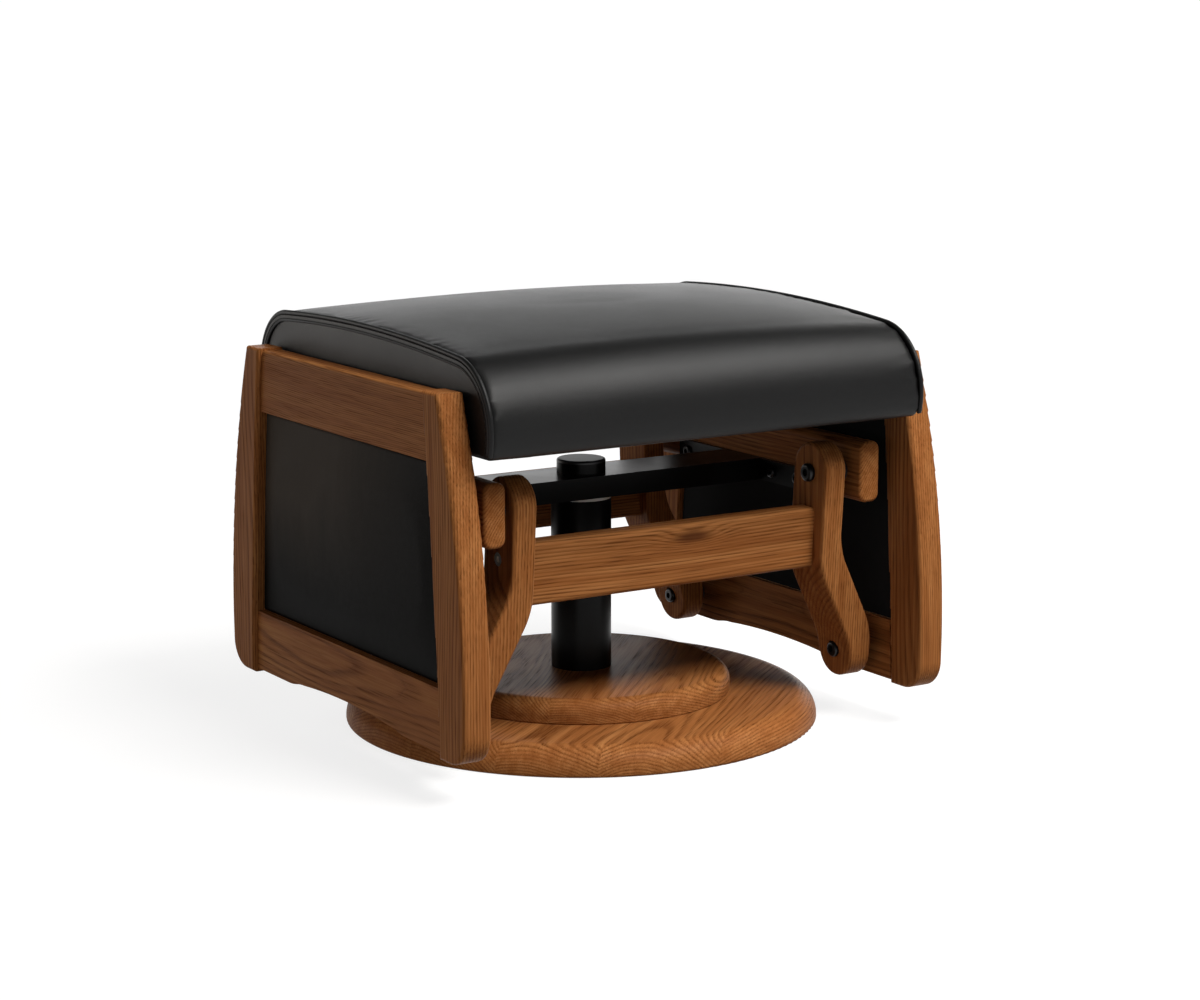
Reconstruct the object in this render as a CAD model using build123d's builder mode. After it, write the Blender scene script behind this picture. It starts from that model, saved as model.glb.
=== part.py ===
"""Glider ottoman on a round swivel base.

Two solid wood discs carry a steel column. A crossbar turns on the column and holds two
fixed rails. Four curved links hang from the rails and carry the seat, which is two
panelled side frames with an upholstered cushion between them.

Millimetres. X is the width, Y the depth (front towards -Y), Z up. The origin is on the
floor under the column's axis.
"""
from build123d import *
import math
import os

os.makedirs("parts", exist_ok=True)

SIDES = {"left": -1, "right": 1}
ENDS = {"front": -1, "rear": 1}

# ---------------------------------------------------------------- fits
running_fit = 0.05      # radial, shaft in bushing
press_gap = 0.04        # radial, pressed or threaded pieces of one body
screw_gap = 0.2         # radial, shank in a clearance hole
face_gap = 0.3          # between faces that slide past each other
thrust_gap = 0.1        # crossbar over the swivel bushing's flange
panel_fit = 0.4         # side panels in their openings

# ---------------------------------------------------------------- fastener proportions
cap_height_share = 0.58     # domed head's height over its radius
cap_dome_share = 0.6        # dome's rounding over the head's height
cap_socket_share = 0.45     # socket's radius over the head's radius
cap_socket_depth_share = 0.55
flat_head_share = 2.0       # countersunk head's radius over the shank's radius
flat_socket_share = 0.5
bolt_tip_margin = 1.0       # a bolt ends this far short of its hole's end
spacer_round = 1.0

# ---------------------------------------------------------------- base
base_radius = 220.0
base_thickness = 25.5
base_top_round = 22.0
base_edge_round = 2.5
riser_radius = 139.0
riser_thickness = 21.5
riser_top_round = 13.0
riser_edge_round = 1.5

plate_radius = 62.0
plate_thickness = 5.0
plate_recess = 6.0      # depth of its pocket in the underside

column_radius = 28.0
column_wall = 3.0
column_length = 159.4
column_foot = 8.0
column_bolt_radius = 4.0
column_bolt_circle_radius = 14.5
column_bolt_count = 3

riser_screw_radius = 2.5
riser_screw_circle_radius = 98.0
riser_screw_count = 6
riser_screw_bite = 12.0  # depth into the upper disc

# ---------------------------------------------------------------- swivel
spindle_radius = 22.7
spindle_wall = 3.0
spindle_depth = 118.0   # below the crossbar
spindle_rise = 10.1     # above the crossbar
cap_thickness = 3.0
cap_round = 2.2
cap_plug_depth = 8.0
bushing_length = 24.0
bushing_flange = 3.0
retainer_thickness = 2.0
retainer_groove = 1.2
retainer_stand_out = 1.7

# ---------------------------------------------------------------- carrier
bar_depth = 60.0
bar_height = 20.5
bar_wall = 2.5
flange_thickness = 5.0
flange_length = 210.0
flange_screw_radius = 3.0
flange_head_radius = 5.4
flange_screw_bite = 16.0
flange_screw_spots = (50.0, 90.0)

glide_rail_thickness = 21.8
glide_rail_height = 56.2
glide_rail_overhang = 31.0  # beyond the upper pivots
glide_rail_round = 8.0
glide_rail_end_round = 3.5
swing_gap = 17.9        # rail to side frame

# ---------------------------------------------------------------- pivots and links
upper_pivot_height = 27.6   # above the rail's underside
lower_pivot_inset = 42.0    # from the leg's inner edge at its foot
pivot_spread = 13.0         # upper pivots stand this much further out
pivot_drop = 173.0
upper_bolt_radius = 5.0
lower_bolt_radius = 4.0
upper_head_radius = 8.5
lower_head_radius = 7.25
upper_spacer_length = 11.4
lower_spacer_length = 10.7
upper_spacer_radius = 12.0
lower_spacer_radius = 10.0
link_bushing_radius = 7.0
open_pivot_play = 1.25      # radial, takes up the linkage's small misfit

link_thickness = 23.0
link_width = 50.0
link_head_rise = 2.5        # the rounded top is centred this far above the pivot
link_upper_bend = 88.7      # inner corner, below the upper pivot
link_lower_bend = 4.5       # inner corner, above the lower pivot
link_outer_lag = 18.0       # outer corners sit this much higher
link_bend_radius = 70.0
link_edge_round = 3.5
spot_face_margin = 1.0      # round the lower bolt heads

nut_across_flats = 17.0
nut_thickness = 6.5
nut_recess = 7.5
nut_recess_radius = 11.0
insert_radius = 6.0
insert_length = 13.0

stretcher_height = 56.0
stretcher_thickness = 22.0
stretcher_drop = 59.4       # centre, below the upper pivot
stretcher_round = 5.0
stretcher_screw_radius = 3.0
stretcher_screw_spread = 15.0
stretcher_screw_bite = 42.0

# ---------------------------------------------------------------- side frames
leg_thickness = 26.6
leg_depth = 221.5           # widest reach of the foot
leg_foot_drop = 3.5         # below the bottom rail
leg_head_rise = 2.0         # above the top rail
leg_belly_height = 50.5     # height of the widest point above the foot
leg_outer_bend = 42.5       # the head stands this far back from the belly
leg_foot_draw = 1.0
leg_foot_width = 44.0
leg_head_width = 26.0
leg_inner_bow = 2.5
leg_foot_round = 26.0
leg_head_round = 13.0
leg_inner_round = 5.0
leg_edge_round = 3.6

frame_rail_thickness = 21.0
frame_rail_recess = 1.1     # behind the legs' inner faces
frame_rail_round = 3.0
frame_rail_overlap = 8.0    # stock beyond the joint, cut away to the leg's curve
lower_pivot_height = 25.0   # above the bottom rail's underside
bottom_rail_height = 55.8
bottom_rail_arch = 7.0
arch_shoulder_height = 3.5
arch_shoulder_y = 80.0
arch_start_y = 112.0
panel_height = 191.0
top_rail_height = 57.2

dowel_radius = 4.0
dowel_reach = 18.0
dowel_inset = 14.0

board_thickness = 8.0
board_inset = 3.8           # lining face to the rails' inner face
lining_thickness = 1.2
pad_edge = 4.7
pad_crown = 3.3
pad_round = 3.0

# ---------------------------------------------------------------- seat
seat_width = 450.0
side_clearance = 1.1        # cushion to leg
cushion_front_inset = 2.2   # behind the widest reach of the legs
cushion_rear_inset = 15.5
cushion_lift = 5.1          # underside above the top rail's underside
cushion_belly_height = 22.0
cushion_rear_belly_height = 31.0
cushion_front_radius = 60.0
cushion_rear_radius = 56.0
cushion_top_arch = 7.9      # rise of the top between its shoulders
cushion_shoulder_share = 0.9    # of its radius that a shoulder takes from the top's length
cushion_crown = 11.0
cushion_foot_draw = 3.3
cushion_foot_round = 5.0
cushion_end_share = 0.9     # end rounding over the underside's rounding
leather_thickness = 2.0
foam_gap = 0.3
leather_turn_under = 38.0

seat_board_thickness = 15.0
seat_board_inset = 8.0
dust_cover_thickness = 1.0
dust_cover_lap = 8.0

bracket_thickness = 2.0
bracket_width = 40.0
bracket_reach = 32.0
bracket_rise = 36.0
bracket_y = 90.0
bracket_hole_spread = 11.0
bracket_hole_share = 0.6    # of a flange's width, from the bend
bracket_screw_radius = 2.0
bracket_screw_bite = 14.0

# ---------------------------------------------------------------- worked-out heights
column_foot_z = base_thickness + riser_thickness
column_top_z = column_foot_z + column_length
bar_z = column_top_z + bushing_flange + thrust_gap
bar_top_z = bar_z + bar_height
upper_pivot_z = bar_z + upper_pivot_height
lower_pivot_z = upper_pivot_z - pivot_drop
bottom_rail_z = lower_pivot_z - lower_pivot_height
panel_z = bottom_rail_z + bottom_rail_height
top_rail_z = panel_z + panel_height
top_rail_top_z = top_rail_z + top_rail_height
leg_foot_z = bottom_rail_z - leg_foot_drop
leg_head_z = top_rail_top_z + leg_head_rise
cushion_z = top_rail_z + cushion_lift

# ---------------------------------------------------------------- worked-out depths
leg_inner_foot_y = leg_depth - leg_foot_width
leg_inner_head_y = leg_depth - leg_outer_bend - leg_head_width
lower_pivot_y = leg_inner_foot_y - lower_pivot_inset
upper_pivot_y = lower_pivot_y + pivot_spread
glide_rail_length = 2 * (upper_pivot_y + glide_rail_overhang)
cushion_front_y = leg_depth - cushion_front_inset
cushion_rear_y = leg_depth - cushion_rear_inset

# ---------------------------------------------------------------- worked-out widths
leg_inner_x = seat_width / 2 + side_clearance
leg_outer_x = leg_inner_x + leg_thickness
frame_rail_x = leg_inner_x + frame_rail_recess
glide_rail_outer_x = leg_inner_x - swing_gap
glide_rail_x = glide_rail_outer_x - glide_rail_thickness
bar_half_length = glide_rail_x - flange_thickness
link_top_outer_x = glide_rail_x - upper_spacer_length
link_top_inner_x = link_top_outer_x - link_thickness
link_foot_outer_x = frame_rail_x - lower_spacer_length
link_foot_inner_x = link_foot_outer_x - link_thickness
link_lean = math.degrees(math.atan2(pivot_spread, pivot_drop))
board_x = frame_rail_x + board_inset
pad_x = board_x + board_thickness


def save(piece, name):
    """Name a finished piece and write it."""
    piece.part.label = name
    export_step(piece.part, f"parts/{name}.step")


def facing(side, x, y, z):
    """The spot (x, y, z) on one side, with its local +X pointing outwards."""
    return Location((side * x, y, z), (0, 0, 0 if side > 0 else 180))


def drill(radius, length):
    """Cut a round hole along local +X from the current locations."""
    Cylinder(radius, length, rotation=(0, 90, 0), align=(Align.CENTER, Align.CENTER, Align.MIN),
             mode=Mode.SUBTRACT)


def cap_bolt(shank_radius, head_radius, length):
    """A domed socket bolt along +X. Its head lies under x = 0."""
    head_height = cap_height_share * head_radius
    with BuildPart() as bolt:
        with BuildSketch(Plane.YZ):
            Circle(shank_radius)
        extrude(amount=length)
        with BuildSketch(Plane.YZ):
            Circle(head_radius)
        extrude(amount=-head_height)
        fillet(bolt.faces().sort_by(Axis.X)[0].edges(), cap_dome_share * head_height)
        with BuildSketch(Plane.YZ.offset(-head_height)):
            RegularPolygon(cap_socket_share * head_radius, 6)
        extrude(amount=cap_socket_depth_share * head_height, mode=Mode.SUBTRACT)
    return bolt.part


def flat_screw(shank_radius, length):
    """A countersunk screw along +X, with its flat head's face at x = 0."""
    head_radius = flat_head_share * shank_radius
    with BuildPart() as screw:
        with BuildSketch(Plane.XY):
            with BuildLine():
                Polyline((0, 0), (0, head_radius), (shank_radius, shank_radius),
                         (length - shank_radius, shank_radius), (length, 0), close=True)
            make_face()
        revolve(axis=Axis.X)
        with BuildSketch(Plane.YZ):
            RegularPolygon(flat_socket_share * head_radius, 6)
        extrude(amount=flat_socket_share * shank_radius, mode=Mode.SUBTRACT)
    return screw.part


def flat_screw_hole(shank_radius, length):
    """The clearance hole that a flat_screw sits in."""
    head_radius = flat_head_share * shank_radius
    with BuildPart() as hole:
        with BuildSketch(Plane.XY):
            with BuildLine():
                Polyline((-press_gap, 0), (-press_gap, head_radius + 2 * press_gap),
                         (shank_radius, shank_radius + press_gap),
                         (length + press_gap, shank_radius + press_gap), (length + press_gap, 0), close=True)
            make_face()
        revolve(axis=Axis.X)
    return hole.part


# ================================================================ base
column_bolt_spots = PolarLocations(column_bolt_circle_radius, column_bolt_count)
riser_screw_spots = PolarLocations(riser_screw_circle_radius, riser_screw_count)
plate_z = plate_recess - plate_thickness
column_bolt_length = column_foot_z + column_foot - plate_z
riser_screw_z = plate_z
riser_screw_length = base_thickness + riser_screw_bite - riser_screw_z
UP = (0, -90, 0)
column_bolt = flat_screw(column_bolt_radius, column_bolt_length - press_gap)
column_bolt_hole = flat_screw_hole(column_bolt_radius, column_bolt_length)
riser_screw = flat_screw(riser_screw_radius, riser_screw_length)
riser_screw_hole = flat_screw_hole(riser_screw_radius, riser_screw_length)

with BuildPart() as base_disc:
    Cylinder(base_radius, base_thickness, align=(Align.CENTER, Align.CENTER, Align.MIN))
    fillet(base_disc.faces().sort_by(Axis.Z)[-1].edges(), base_top_round)
    fillet(base_disc.faces().sort_by(Axis.Z)[0].edges(), base_edge_round)
    with BuildSketch(Plane.XY):
        Circle(plate_radius + screw_gap)
    extrude(amount=plate_recess, mode=Mode.SUBTRACT)
    with BuildSketch(Plane.XY):
        with riser_screw_spots:
            Circle(flat_head_share * riser_screw_radius + press_gap)
    extrude(amount=riser_screw_z, mode=Mode.SUBTRACT)
    with BuildSketch(Plane.XY):
        with column_bolt_spots:
            Circle(column_bolt_radius + screw_gap)
    extrude(amount=base_thickness, mode=Mode.SUBTRACT)
    with Locations((0, 0, riser_screw_z)):
        with riser_screw_spots:
            add(riser_screw_hole, rotation=UP, mode=Mode.SUBTRACT)
save(base_disc, "base_disc")

with BuildPart() as riser_disc:
    with BuildSketch(Plane.XY.offset(base_thickness)):
        Circle(riser_radius)
    extrude(amount=riser_thickness)
    fillet(riser_disc.faces().sort_by(Axis.Z)[-1].edges(), riser_top_round)
    fillet(riser_disc.faces().sort_by(Axis.Z)[0].edges(), riser_edge_round)
    with BuildSketch(Plane.XY.offset(base_thickness)):
        with column_bolt_spots:
            Circle(column_bolt_radius + screw_gap)
    extrude(amount=riser_thickness, mode=Mode.SUBTRACT)
    with Locations((0, 0, riser_screw_z)):
        with riser_screw_spots:
            add(riser_screw_hole, rotation=UP, mode=Mode.SUBTRACT)
save(riser_disc, "base_riser_disc")

with BuildPart() as base_plate:
    with BuildSketch(Plane.XY.offset(plate_z)):
        Circle(plate_radius)
    extrude(amount=plate_thickness)
    with Locations((0, 0, plate_z)):
        with column_bolt_spots:
            add(column_bolt_hole, rotation=UP, mode=Mode.SUBTRACT)
save(base_plate, "base_plate")

with BuildPart() as column_tube:
    with BuildSketch(Plane.XY.offset(column_foot_z)):
        Circle(column_radius)
    extrude(amount=column_length)
    with BuildSketch(Plane.XY.offset(column_foot_z + column_foot)):
        Circle(column_radius - column_wall)
    extrude(amount=column_length, mode=Mode.SUBTRACT)
    with BuildSketch(Plane.XY.offset(column_foot_z)):
        with column_bolt_spots:
            Circle(column_bolt_radius + press_gap)
    extrude(amount=column_foot, mode=Mode.SUBTRACT)
save(column_tube, "column_tube")

with BuildPart() as column_bolts:
    with Locations((0, 0, plate_z)):
        with column_bolt_spots:
            add(column_bolt, rotation=UP)
save(column_bolts, "column_bolts")

with BuildPart() as riser_screws:
    with Locations((0, 0, riser_screw_z)):
        with riser_screw_spots:
            add(riser_screw, rotation=UP)
save(riser_screws, "riser_screws")

# ================================================================ swivel
spindle_foot_z = bar_z - spindle_depth
spindle_top_z = bar_top_z + spindle_rise
retainer_z = spindle_foot_z + 2 * retainer_thickness
lower_bushing_z = retainer_z + retainer_thickness + face_gap
bushing_outer = column_radius - column_wall - press_gap
bushing_inner = spindle_radius + running_fit

with BuildPart() as upper_bushing:
    with BuildSketch(Plane.XY.offset(column_top_z)):
        Circle(column_radius)
    extrude(amount=bushing_flange)
    with BuildSketch(Plane.XY.offset(column_top_z)):
        Circle(bushing_outer)
    extrude(amount=-bushing_length)
    with BuildSketch(Plane.XY.offset(column_top_z - bushing_length)):
        Circle(bushing_inner)
    extrude(amount=bushing_length + bushing_flange, mode=Mode.SUBTRACT)
save(upper_bushing, "upper_swivel_bushing")

with BuildPart() as lower_bushing:
    with BuildSketch(Plane.XY.offset(lower_bushing_z)):
        Circle(bushing_outer)
        Circle(bushing_inner, mode=Mode.SUBTRACT)
    extrude(amount=bushing_length)
save(lower_bushing, "lower_swivel_bushing")

with BuildPart() as spindle_tube:
    with BuildSketch(Plane.XY.offset(spindle_foot_z)):
        Circle(spindle_radius)
        Circle(spindle_radius - spindle_wall, mode=Mode.SUBTRACT)
    extrude(amount=spindle_top_z - spindle_foot_z)
    with BuildSketch(Plane.XY.offset(retainer_z - press_gap)):
        Circle(spindle_radius)
        Circle(spindle_radius - retainer_groove, mode=Mode.SUBTRACT)
    extrude(amount=retainer_thickness + 2 * press_gap, mode=Mode.SUBTRACT)
save(spindle_tube, "spindle_tube")

with BuildPart() as retaining_ring:
    with BuildSketch(Plane.XY.offset(retainer_z)):
        Circle(spindle_radius + retainer_stand_out)
        Circle(spindle_radius - retainer_groove + press_gap, mode=Mode.SUBTRACT)
        with Locations((spindle_radius, 0)):
            Rectangle(3 * retainer_stand_out, retainer_stand_out, mode=Mode.SUBTRACT)
    extrude(amount=retainer_thickness)
save(retaining_ring, "spindle_retaining_ring")

with BuildPart() as spindle_cap:
    with BuildSketch(Plane.XY.offset(spindle_top_z)):
        Circle(spindle_radius)
    extrude(amount=cap_thickness)
    fillet(spindle_cap.faces().sort_by(Axis.Z)[-1].edges(), cap_round)
    with BuildSketch(Plane.XY.offset(spindle_top_z)):
        Circle(spindle_radius - spindle_wall - press_gap)
    extrude(amount=-cap_plug_depth)
save(spindle_cap, "spindle_cap")

# ================================================================ carrier
with BuildPart() as crossbar:
    with BuildSketch(Plane.YZ.offset(-bar_half_length)):
        with Locations((0, bar_z + bar_height / 2)):
            Rectangle(bar_depth, bar_height)
            Rectangle(bar_depth - 2 * bar_wall, bar_height - 2 * bar_wall, mode=Mode.SUBTRACT)
    extrude(amount=2 * bar_half_length)
    with BuildSketch(Plane.XY.offset(bar_z)):
        Circle(spindle_radius + press_gap)
    extrude(amount=bar_height, mode=Mode.SUBTRACT)
save(crossbar, "crossbar")

flange_screw_z = bar_z + bar_height / 2
nut_x = glide_rail_outer_x - nut_recess
flange_screw_ys = [sign * spot for spot in flange_screw_spots for sign in (-1, 1)]
flange_screw = cap_bolt(flange_screw_radius, flange_head_radius, flange_thickness + flange_screw_bite)

with BuildPart() as flange_screws:
    for side in SIDES.values():
        for y in flange_screw_ys:
            with Locations(facing(side, bar_half_length, y, flange_screw_z)):
                add(flange_screw)
save(flange_screws, "flange_screws")

for side_name, side in SIDES.items():
    with BuildPart() as rail_flange:
        with Locations(facing(side, bar_half_length, 0, flange_screw_z)):
            Box(flange_thickness, flange_length, bar_height, align=(Align.MIN, Align.CENTER, Align.CENTER))
        for y in flange_screw_ys:
            with Locations(facing(side, bar_half_length, y, flange_screw_z)):
                drill(flange_screw_radius + screw_gap, flange_thickness)
    save(rail_flange, f"rail_flange_{side_name}")

    with BuildPart() as glide_rail:
        with Locations(facing(side, glide_rail_x, 0, bar_z + glide_rail_height / 2)):
            Box(glide_rail_thickness, glide_rail_length, glide_rail_height,
                align=(Align.MIN, Align.CENTER, Align.CENTER))
        fillet(glide_rail.edges().filter_by(Axis.Y), glide_rail_round)
        fillet(glide_rail.faces().filter_by(Axis.Y).edges(), glide_rail_end_round)
        for y in flange_screw_ys:
            with Locations(facing(side, glide_rail_x, y, flange_screw_z)):
                drill(flange_screw_radius + press_gap, flange_screw_bite + press_gap)
        for end in ENDS.values():
            with Locations(facing(side, glide_rail_x, end * upper_pivot_y, upper_pivot_z)):
                drill(upper_bolt_radius + screw_gap, glide_rail_thickness)
            with Locations(facing(side, nut_x, end * upper_pivot_y, upper_pivot_z)):
                drill(nut_recess_radius, nut_recess)
    save(glide_rail, f"glide_rail_{side_name}")

upper_head_x = link_top_inner_x - face_gap
upper_bolt_tip_x = glide_rail_outer_x - bolt_tip_margin
upper_bolt = cap_bolt(upper_bolt_radius, upper_head_radius, upper_bolt_tip_x - upper_head_x)

with BuildPart() as upper_bolts:
    for side in SIDES.values():
        for end in ENDS.values():
            with Locations(facing(side, upper_head_x, end * upper_pivot_y, upper_pivot_z)):
                add(upper_bolt)
save(upper_bolts, "upper_pivot_bolts")

with BuildPart() as nut:
    with BuildSketch(Plane.YZ):
        RegularPolygon(nut_across_flats / 2, 6, major_radius=False)
        Circle(upper_bolt_radius + press_gap, mode=Mode.SUBTRACT)
    extrude(amount=nut_thickness)

with BuildPart() as upper_nuts:
    for side in SIDES.values():
        for end in ENDS.values():
            with Locations(facing(side, nut_x, end * upper_pivot_y, upper_pivot_z)):
                add(nut.part)
save(upper_nuts, "upper_pivot_nuts")


def spacer(radius, bore, length):
    """A plain washer along +X."""
    with BuildPart() as ring:
        with BuildSketch(Plane.YZ):
            Circle(radius)
            Circle(bore, mode=Mode.SUBTRACT)
        extrude(amount=length)
        rim = ring.faces().filter_by(GeomType.CYLINDER).sort_by(SortBy.AREA)[-1]
        fillet(rim.edges().filter_by(GeomType.CIRCLE), spacer_round)
    return ring.part


upper_spacer = spacer(upper_spacer_radius, upper_bolt_radius + screw_gap, upper_spacer_length - face_gap)
with BuildPart() as upper_spacers:
    for side in SIDES.values():
        for end in ENDS.values():
            with Locations(facing(side, link_top_outer_x + face_gap, end * upper_pivot_y, upper_pivot_z)):
                add(upper_spacer)
save(upper_spacers, "upper_pivot_spacers")

# ================================================================ swinging links
stretcher_z = upper_pivot_z - stretcher_drop
stretcher_screw_zs = [stretcher_z - stretcher_screw_spread, stretcher_z + stretcher_screw_spread]
stretcher_screw_length = link_thickness + stretcher_screw_bite


def link_axis_y(z):
    """Distance of a link's centre line from the middle plane at height z."""
    return upper_pivot_y - (upper_pivot_z - z) / pivot_drop * pivot_spread


def link_blank(side, end):
    """One S-curved link without its holes."""
    head_z = upper_pivot_z + link_head_rise
    top_z = head_z + link_width
    foot_z = lower_pivot_z - link_width
    upper_bend_z = upper_pivot_z - link_upper_bend
    lower_bend_z = lower_pivot_z + link_lower_bend
    rise = head_z - lower_pivot_z
    run = end * (link_axis_y(head_z) - lower_pivot_y)
    with BuildPart() as blank:
        with BuildSketch(Plane.XZ):
            with BuildLine():
                inner = FilletPolyline((side * link_top_inner_x, top_z),
                                       (side * link_top_inner_x, upper_bend_z),
                                       (side * link_foot_inner_x, lower_bend_z),
                                       (side * link_foot_inner_x, foot_z), radius=link_bend_radius)
                outer = FilletPolyline((side * link_top_outer_x, top_z),
                                       (side * link_top_outer_x, upper_bend_z + link_outer_lag),
                                       (side * link_foot_outer_x, lower_bend_z + link_outer_lag),
                                       (side * link_foot_outer_x, foot_z), radius=link_bend_radius)
                Line(inner @ 0, outer @ 0)
                Line(inner @ 1, outer @ 1)
            make_face()
        extrude(amount=upper_pivot_y + link_width, both=True)
        with BuildSketch(Plane.YZ):
            with Locations((end * lower_pivot_y + run / 2, lower_pivot_z + rise / 2)):
                SlotCenterToCenter(math.hypot(rise, run), link_width,
                                   rotation=math.degrees(math.atan2(rise, run)))
        extrude(amount=leg_outer_x, both=True, mode=Mode.INTERSECT)
        bent_faces = blank.faces().filter_by(lambda face: abs(face.normal_at().X) > 0.1)
        rim_faces = blank.faces().filter_by(lambda face: abs(face.normal_at().X) <= 0.1)
        rim_edges = rim_faces.edges()
        fillet([edge for edge in bent_faces.edges() if edge in rim_edges], link_edge_round)
    return blank.part


def link_bushing(bore):
    """A plain sleeve along +X, as long as a link is thick."""
    with BuildPart() as sleeve:
        with BuildSketch(Plane.YZ):
            Circle(link_bushing_radius)
            Circle(bore, mode=Mode.SUBTRACT)
        extrude(amount=link_thickness)
    return sleeve.part


upper_link_bushing = link_bushing(upper_bolt_radius + running_fit)
stretcher_screw = flat_screw(stretcher_screw_radius, stretcher_screw_length)
stretcher_screw_hole = flat_screw_hole(stretcher_screw_radius, stretcher_screw_length)

for end_name, end in ENDS.items():
    play = running_fit if end_name == "front" else open_pivot_play
    lower_link_bushing = link_bushing(lower_bolt_radius + play)
    screw_spots = [Location((side * link_top_outer_x, end * link_axis_y(z), z), (0, 0, 90 + 90 * side))
                   for side in SIDES.values() for z in stretcher_screw_zs]
    blanks = {}
    for side_name, side in SIDES.items():
        blanks[side_name] = link_blank(side, end)
        with BuildPart() as link:
            add(blanks[side_name])
            with Locations(facing(side, link_top_inner_x, end * upper_pivot_y, upper_pivot_z)):
                drill(link_bushing_radius + press_gap, link_thickness)
            with Locations(facing(side, link_foot_inner_x, end * lower_pivot_y, lower_pivot_z)):
                drill(link_bushing_radius + press_gap, link_thickness)
            with Locations(facing(side, link_top_inner_x, end * lower_pivot_y, lower_pivot_z)):
                drill(lower_head_radius + spot_face_margin, link_foot_inner_x - link_top_inner_x)
            with Locations(screw_spots):
                add(stretcher_screw_hole, mode=Mode.SUBTRACT)
        save(link, f"{end_name}_link_{side_name}")

    with BuildPart() as stretcher:
        with Locations(Location((0, end * link_axis_y(stretcher_z), stretcher_z), (-end * link_lean, 0, 0))):
            Box(2 * link_foot_inner_x, stretcher_thickness, stretcher_height)
        fillet(stretcher.edges().filter_by(Axis.X), stretcher_round)
        with BuildSketch(Plane.XZ):
            with Locations((0, stretcher_z)):
                Rectangle(2 * (link_top_inner_x + link_thickness / 2), 2 * stretcher_height)
        extrude(amount=upper_pivot_y + link_width, both=True, mode=Mode.INTERSECT)
        for blank in blanks.values():
            add(blank, mode=Mode.SUBTRACT)
        with Locations(screw_spots):
            add(stretcher_screw_hole, mode=Mode.SUBTRACT)
    save(stretcher, f"{end_name}_stretcher")

    with BuildPart() as link_bushings:
        for side in SIDES.values():
            with Locations(facing(side, link_top_inner_x, end * upper_pivot_y, upper_pivot_z)):
                add(upper_link_bushing)
            with Locations(facing(side, link_foot_inner_x, end * lower_pivot_y, lower_pivot_z)):
                add(lower_link_bushing)
    save(link_bushings, f"{end_name}_link_bushings")

    with BuildPart() as stretcher_screws:
        with Locations(screw_spots):
            add(stretcher_screw)
    save(stretcher_screws, f"{end_name}_stretcher_screws")

# ================================================================ lower pivots
lower_head_x = link_foot_inner_x - face_gap
lower_bolt_length = frame_rail_x + insert_length - bolt_tip_margin - lower_head_x
lower_bolt = cap_bolt(lower_bolt_radius, lower_head_radius, lower_bolt_length)
lower_spacer = spacer(lower_spacer_radius, lower_bolt_radius + screw_gap, lower_spacer_length - face_gap)
insert = spacer(insert_radius, lower_bolt_radius + press_gap, insert_length)
lower_pivot_pieces = {
    "lower_pivot_bolts": (lower_bolt, lower_head_x),
    "lower_pivot_spacers": (lower_spacer, link_foot_outer_x + face_gap),
    "lower_pivot_inserts": (insert, frame_rail_x),
}

for name, (piece, start_x) in lower_pivot_pieces.items():
    with BuildPart() as group:
        for side in SIDES.values():
            for end in ENDS.values():
                with Locations(facing(side, start_x, end * lower_pivot_y, lower_pivot_z)):
                    add(piece)
    save(group, name)

# ================================================================ seat bracket places
bracket_z = cushion_z - bracket_thickness
bracket_face_x = frame_rail_x - bracket_thickness
bracket_inner_x = frame_rail_x - bracket_reach
bracket_ys = [end * bracket_y for end in ENDS.values()]
bracket_hole_ys = [y + shift for y in bracket_ys for shift in (-bracket_hole_spread, bracket_hole_spread)]
bracket_side_z = cushion_z + bracket_hole_share * bracket_rise
bracket_board_x = frame_rail_x - bracket_hole_share * bracket_reach
bracket_screw_length = bracket_thickness + bracket_screw_bite
bracket_screw = flat_screw(bracket_screw_radius, bracket_screw_length)
bracket_screw_hole = flat_screw_hole(bracket_screw_radius, bracket_screw_length)
bracket_board_spots = [Location((side * bracket_board_x, y, bracket_z), UP)
                       for side in SIDES.values() for y in bracket_hole_ys]


def bracket_side_spots(side):
    """Where the screws enter a top rail through the brackets of one side."""
    return [facing(side, bracket_face_x, y, bracket_side_z) for y in bracket_hole_ys]


# ================================================================ side frames
dowel_x = frame_rail_x + frame_rail_thickness / 2
dowel_zs = [bottom_rail_z + dowel_inset, panel_z - dowel_inset,
            top_rail_z + dowel_inset, top_rail_top_z - dowel_inset]


def leg_inner_y(z, fit=0):
    """Distance of a leg's inner edge from the middle plane at height z."""
    share = (z - leg_foot_z) / (leg_head_z - leg_foot_z)
    straight = leg_inner_foot_y + share * (leg_inner_head_y - leg_inner_foot_y)
    return straight + 4 * leg_inner_bow * share * (1 - share) - fit


def leg_outline(plane, end, fit=0, rounded=True):
    """The leg seen from the side. Its inner edge moves inwards by fit."""
    belly_z = leg_foot_z + leg_belly_height
    middle_z = (leg_foot_z + leg_head_z) / 2
    head = (end * (leg_depth - leg_outer_bend), leg_head_z)
    belly = (end * leg_depth, belly_z)
    foot = (end * (leg_depth - leg_foot_draw), leg_foot_z)
    inner_foot, inner_middle, inner_head = [(end * leg_inner_y(z, fit), z)
                                            for z in (leg_foot_z, middle_z, leg_head_z)]
    with BuildSketch(plane) as outline:
        with BuildLine():
            TangentArc(belly, head, tangent=(0, 1))
            Polyline(belly, foot, inner_foot)
            ThreePointArc(inner_foot, inner_middle, inner_head)
            Line(inner_head, head)
        make_face()
        if rounded:
            corners = outline.vertices()
            fillet(corners.sort_by_distance(foot)[0], leg_foot_round)
            fillet(corners.sort_by_distance(head)[0], leg_head_round)
            fillet([corners.sort_by_distance(spot)[0] for spot in (inner_foot, inner_head)], leg_inner_round)
    return outline.sketch


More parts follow.
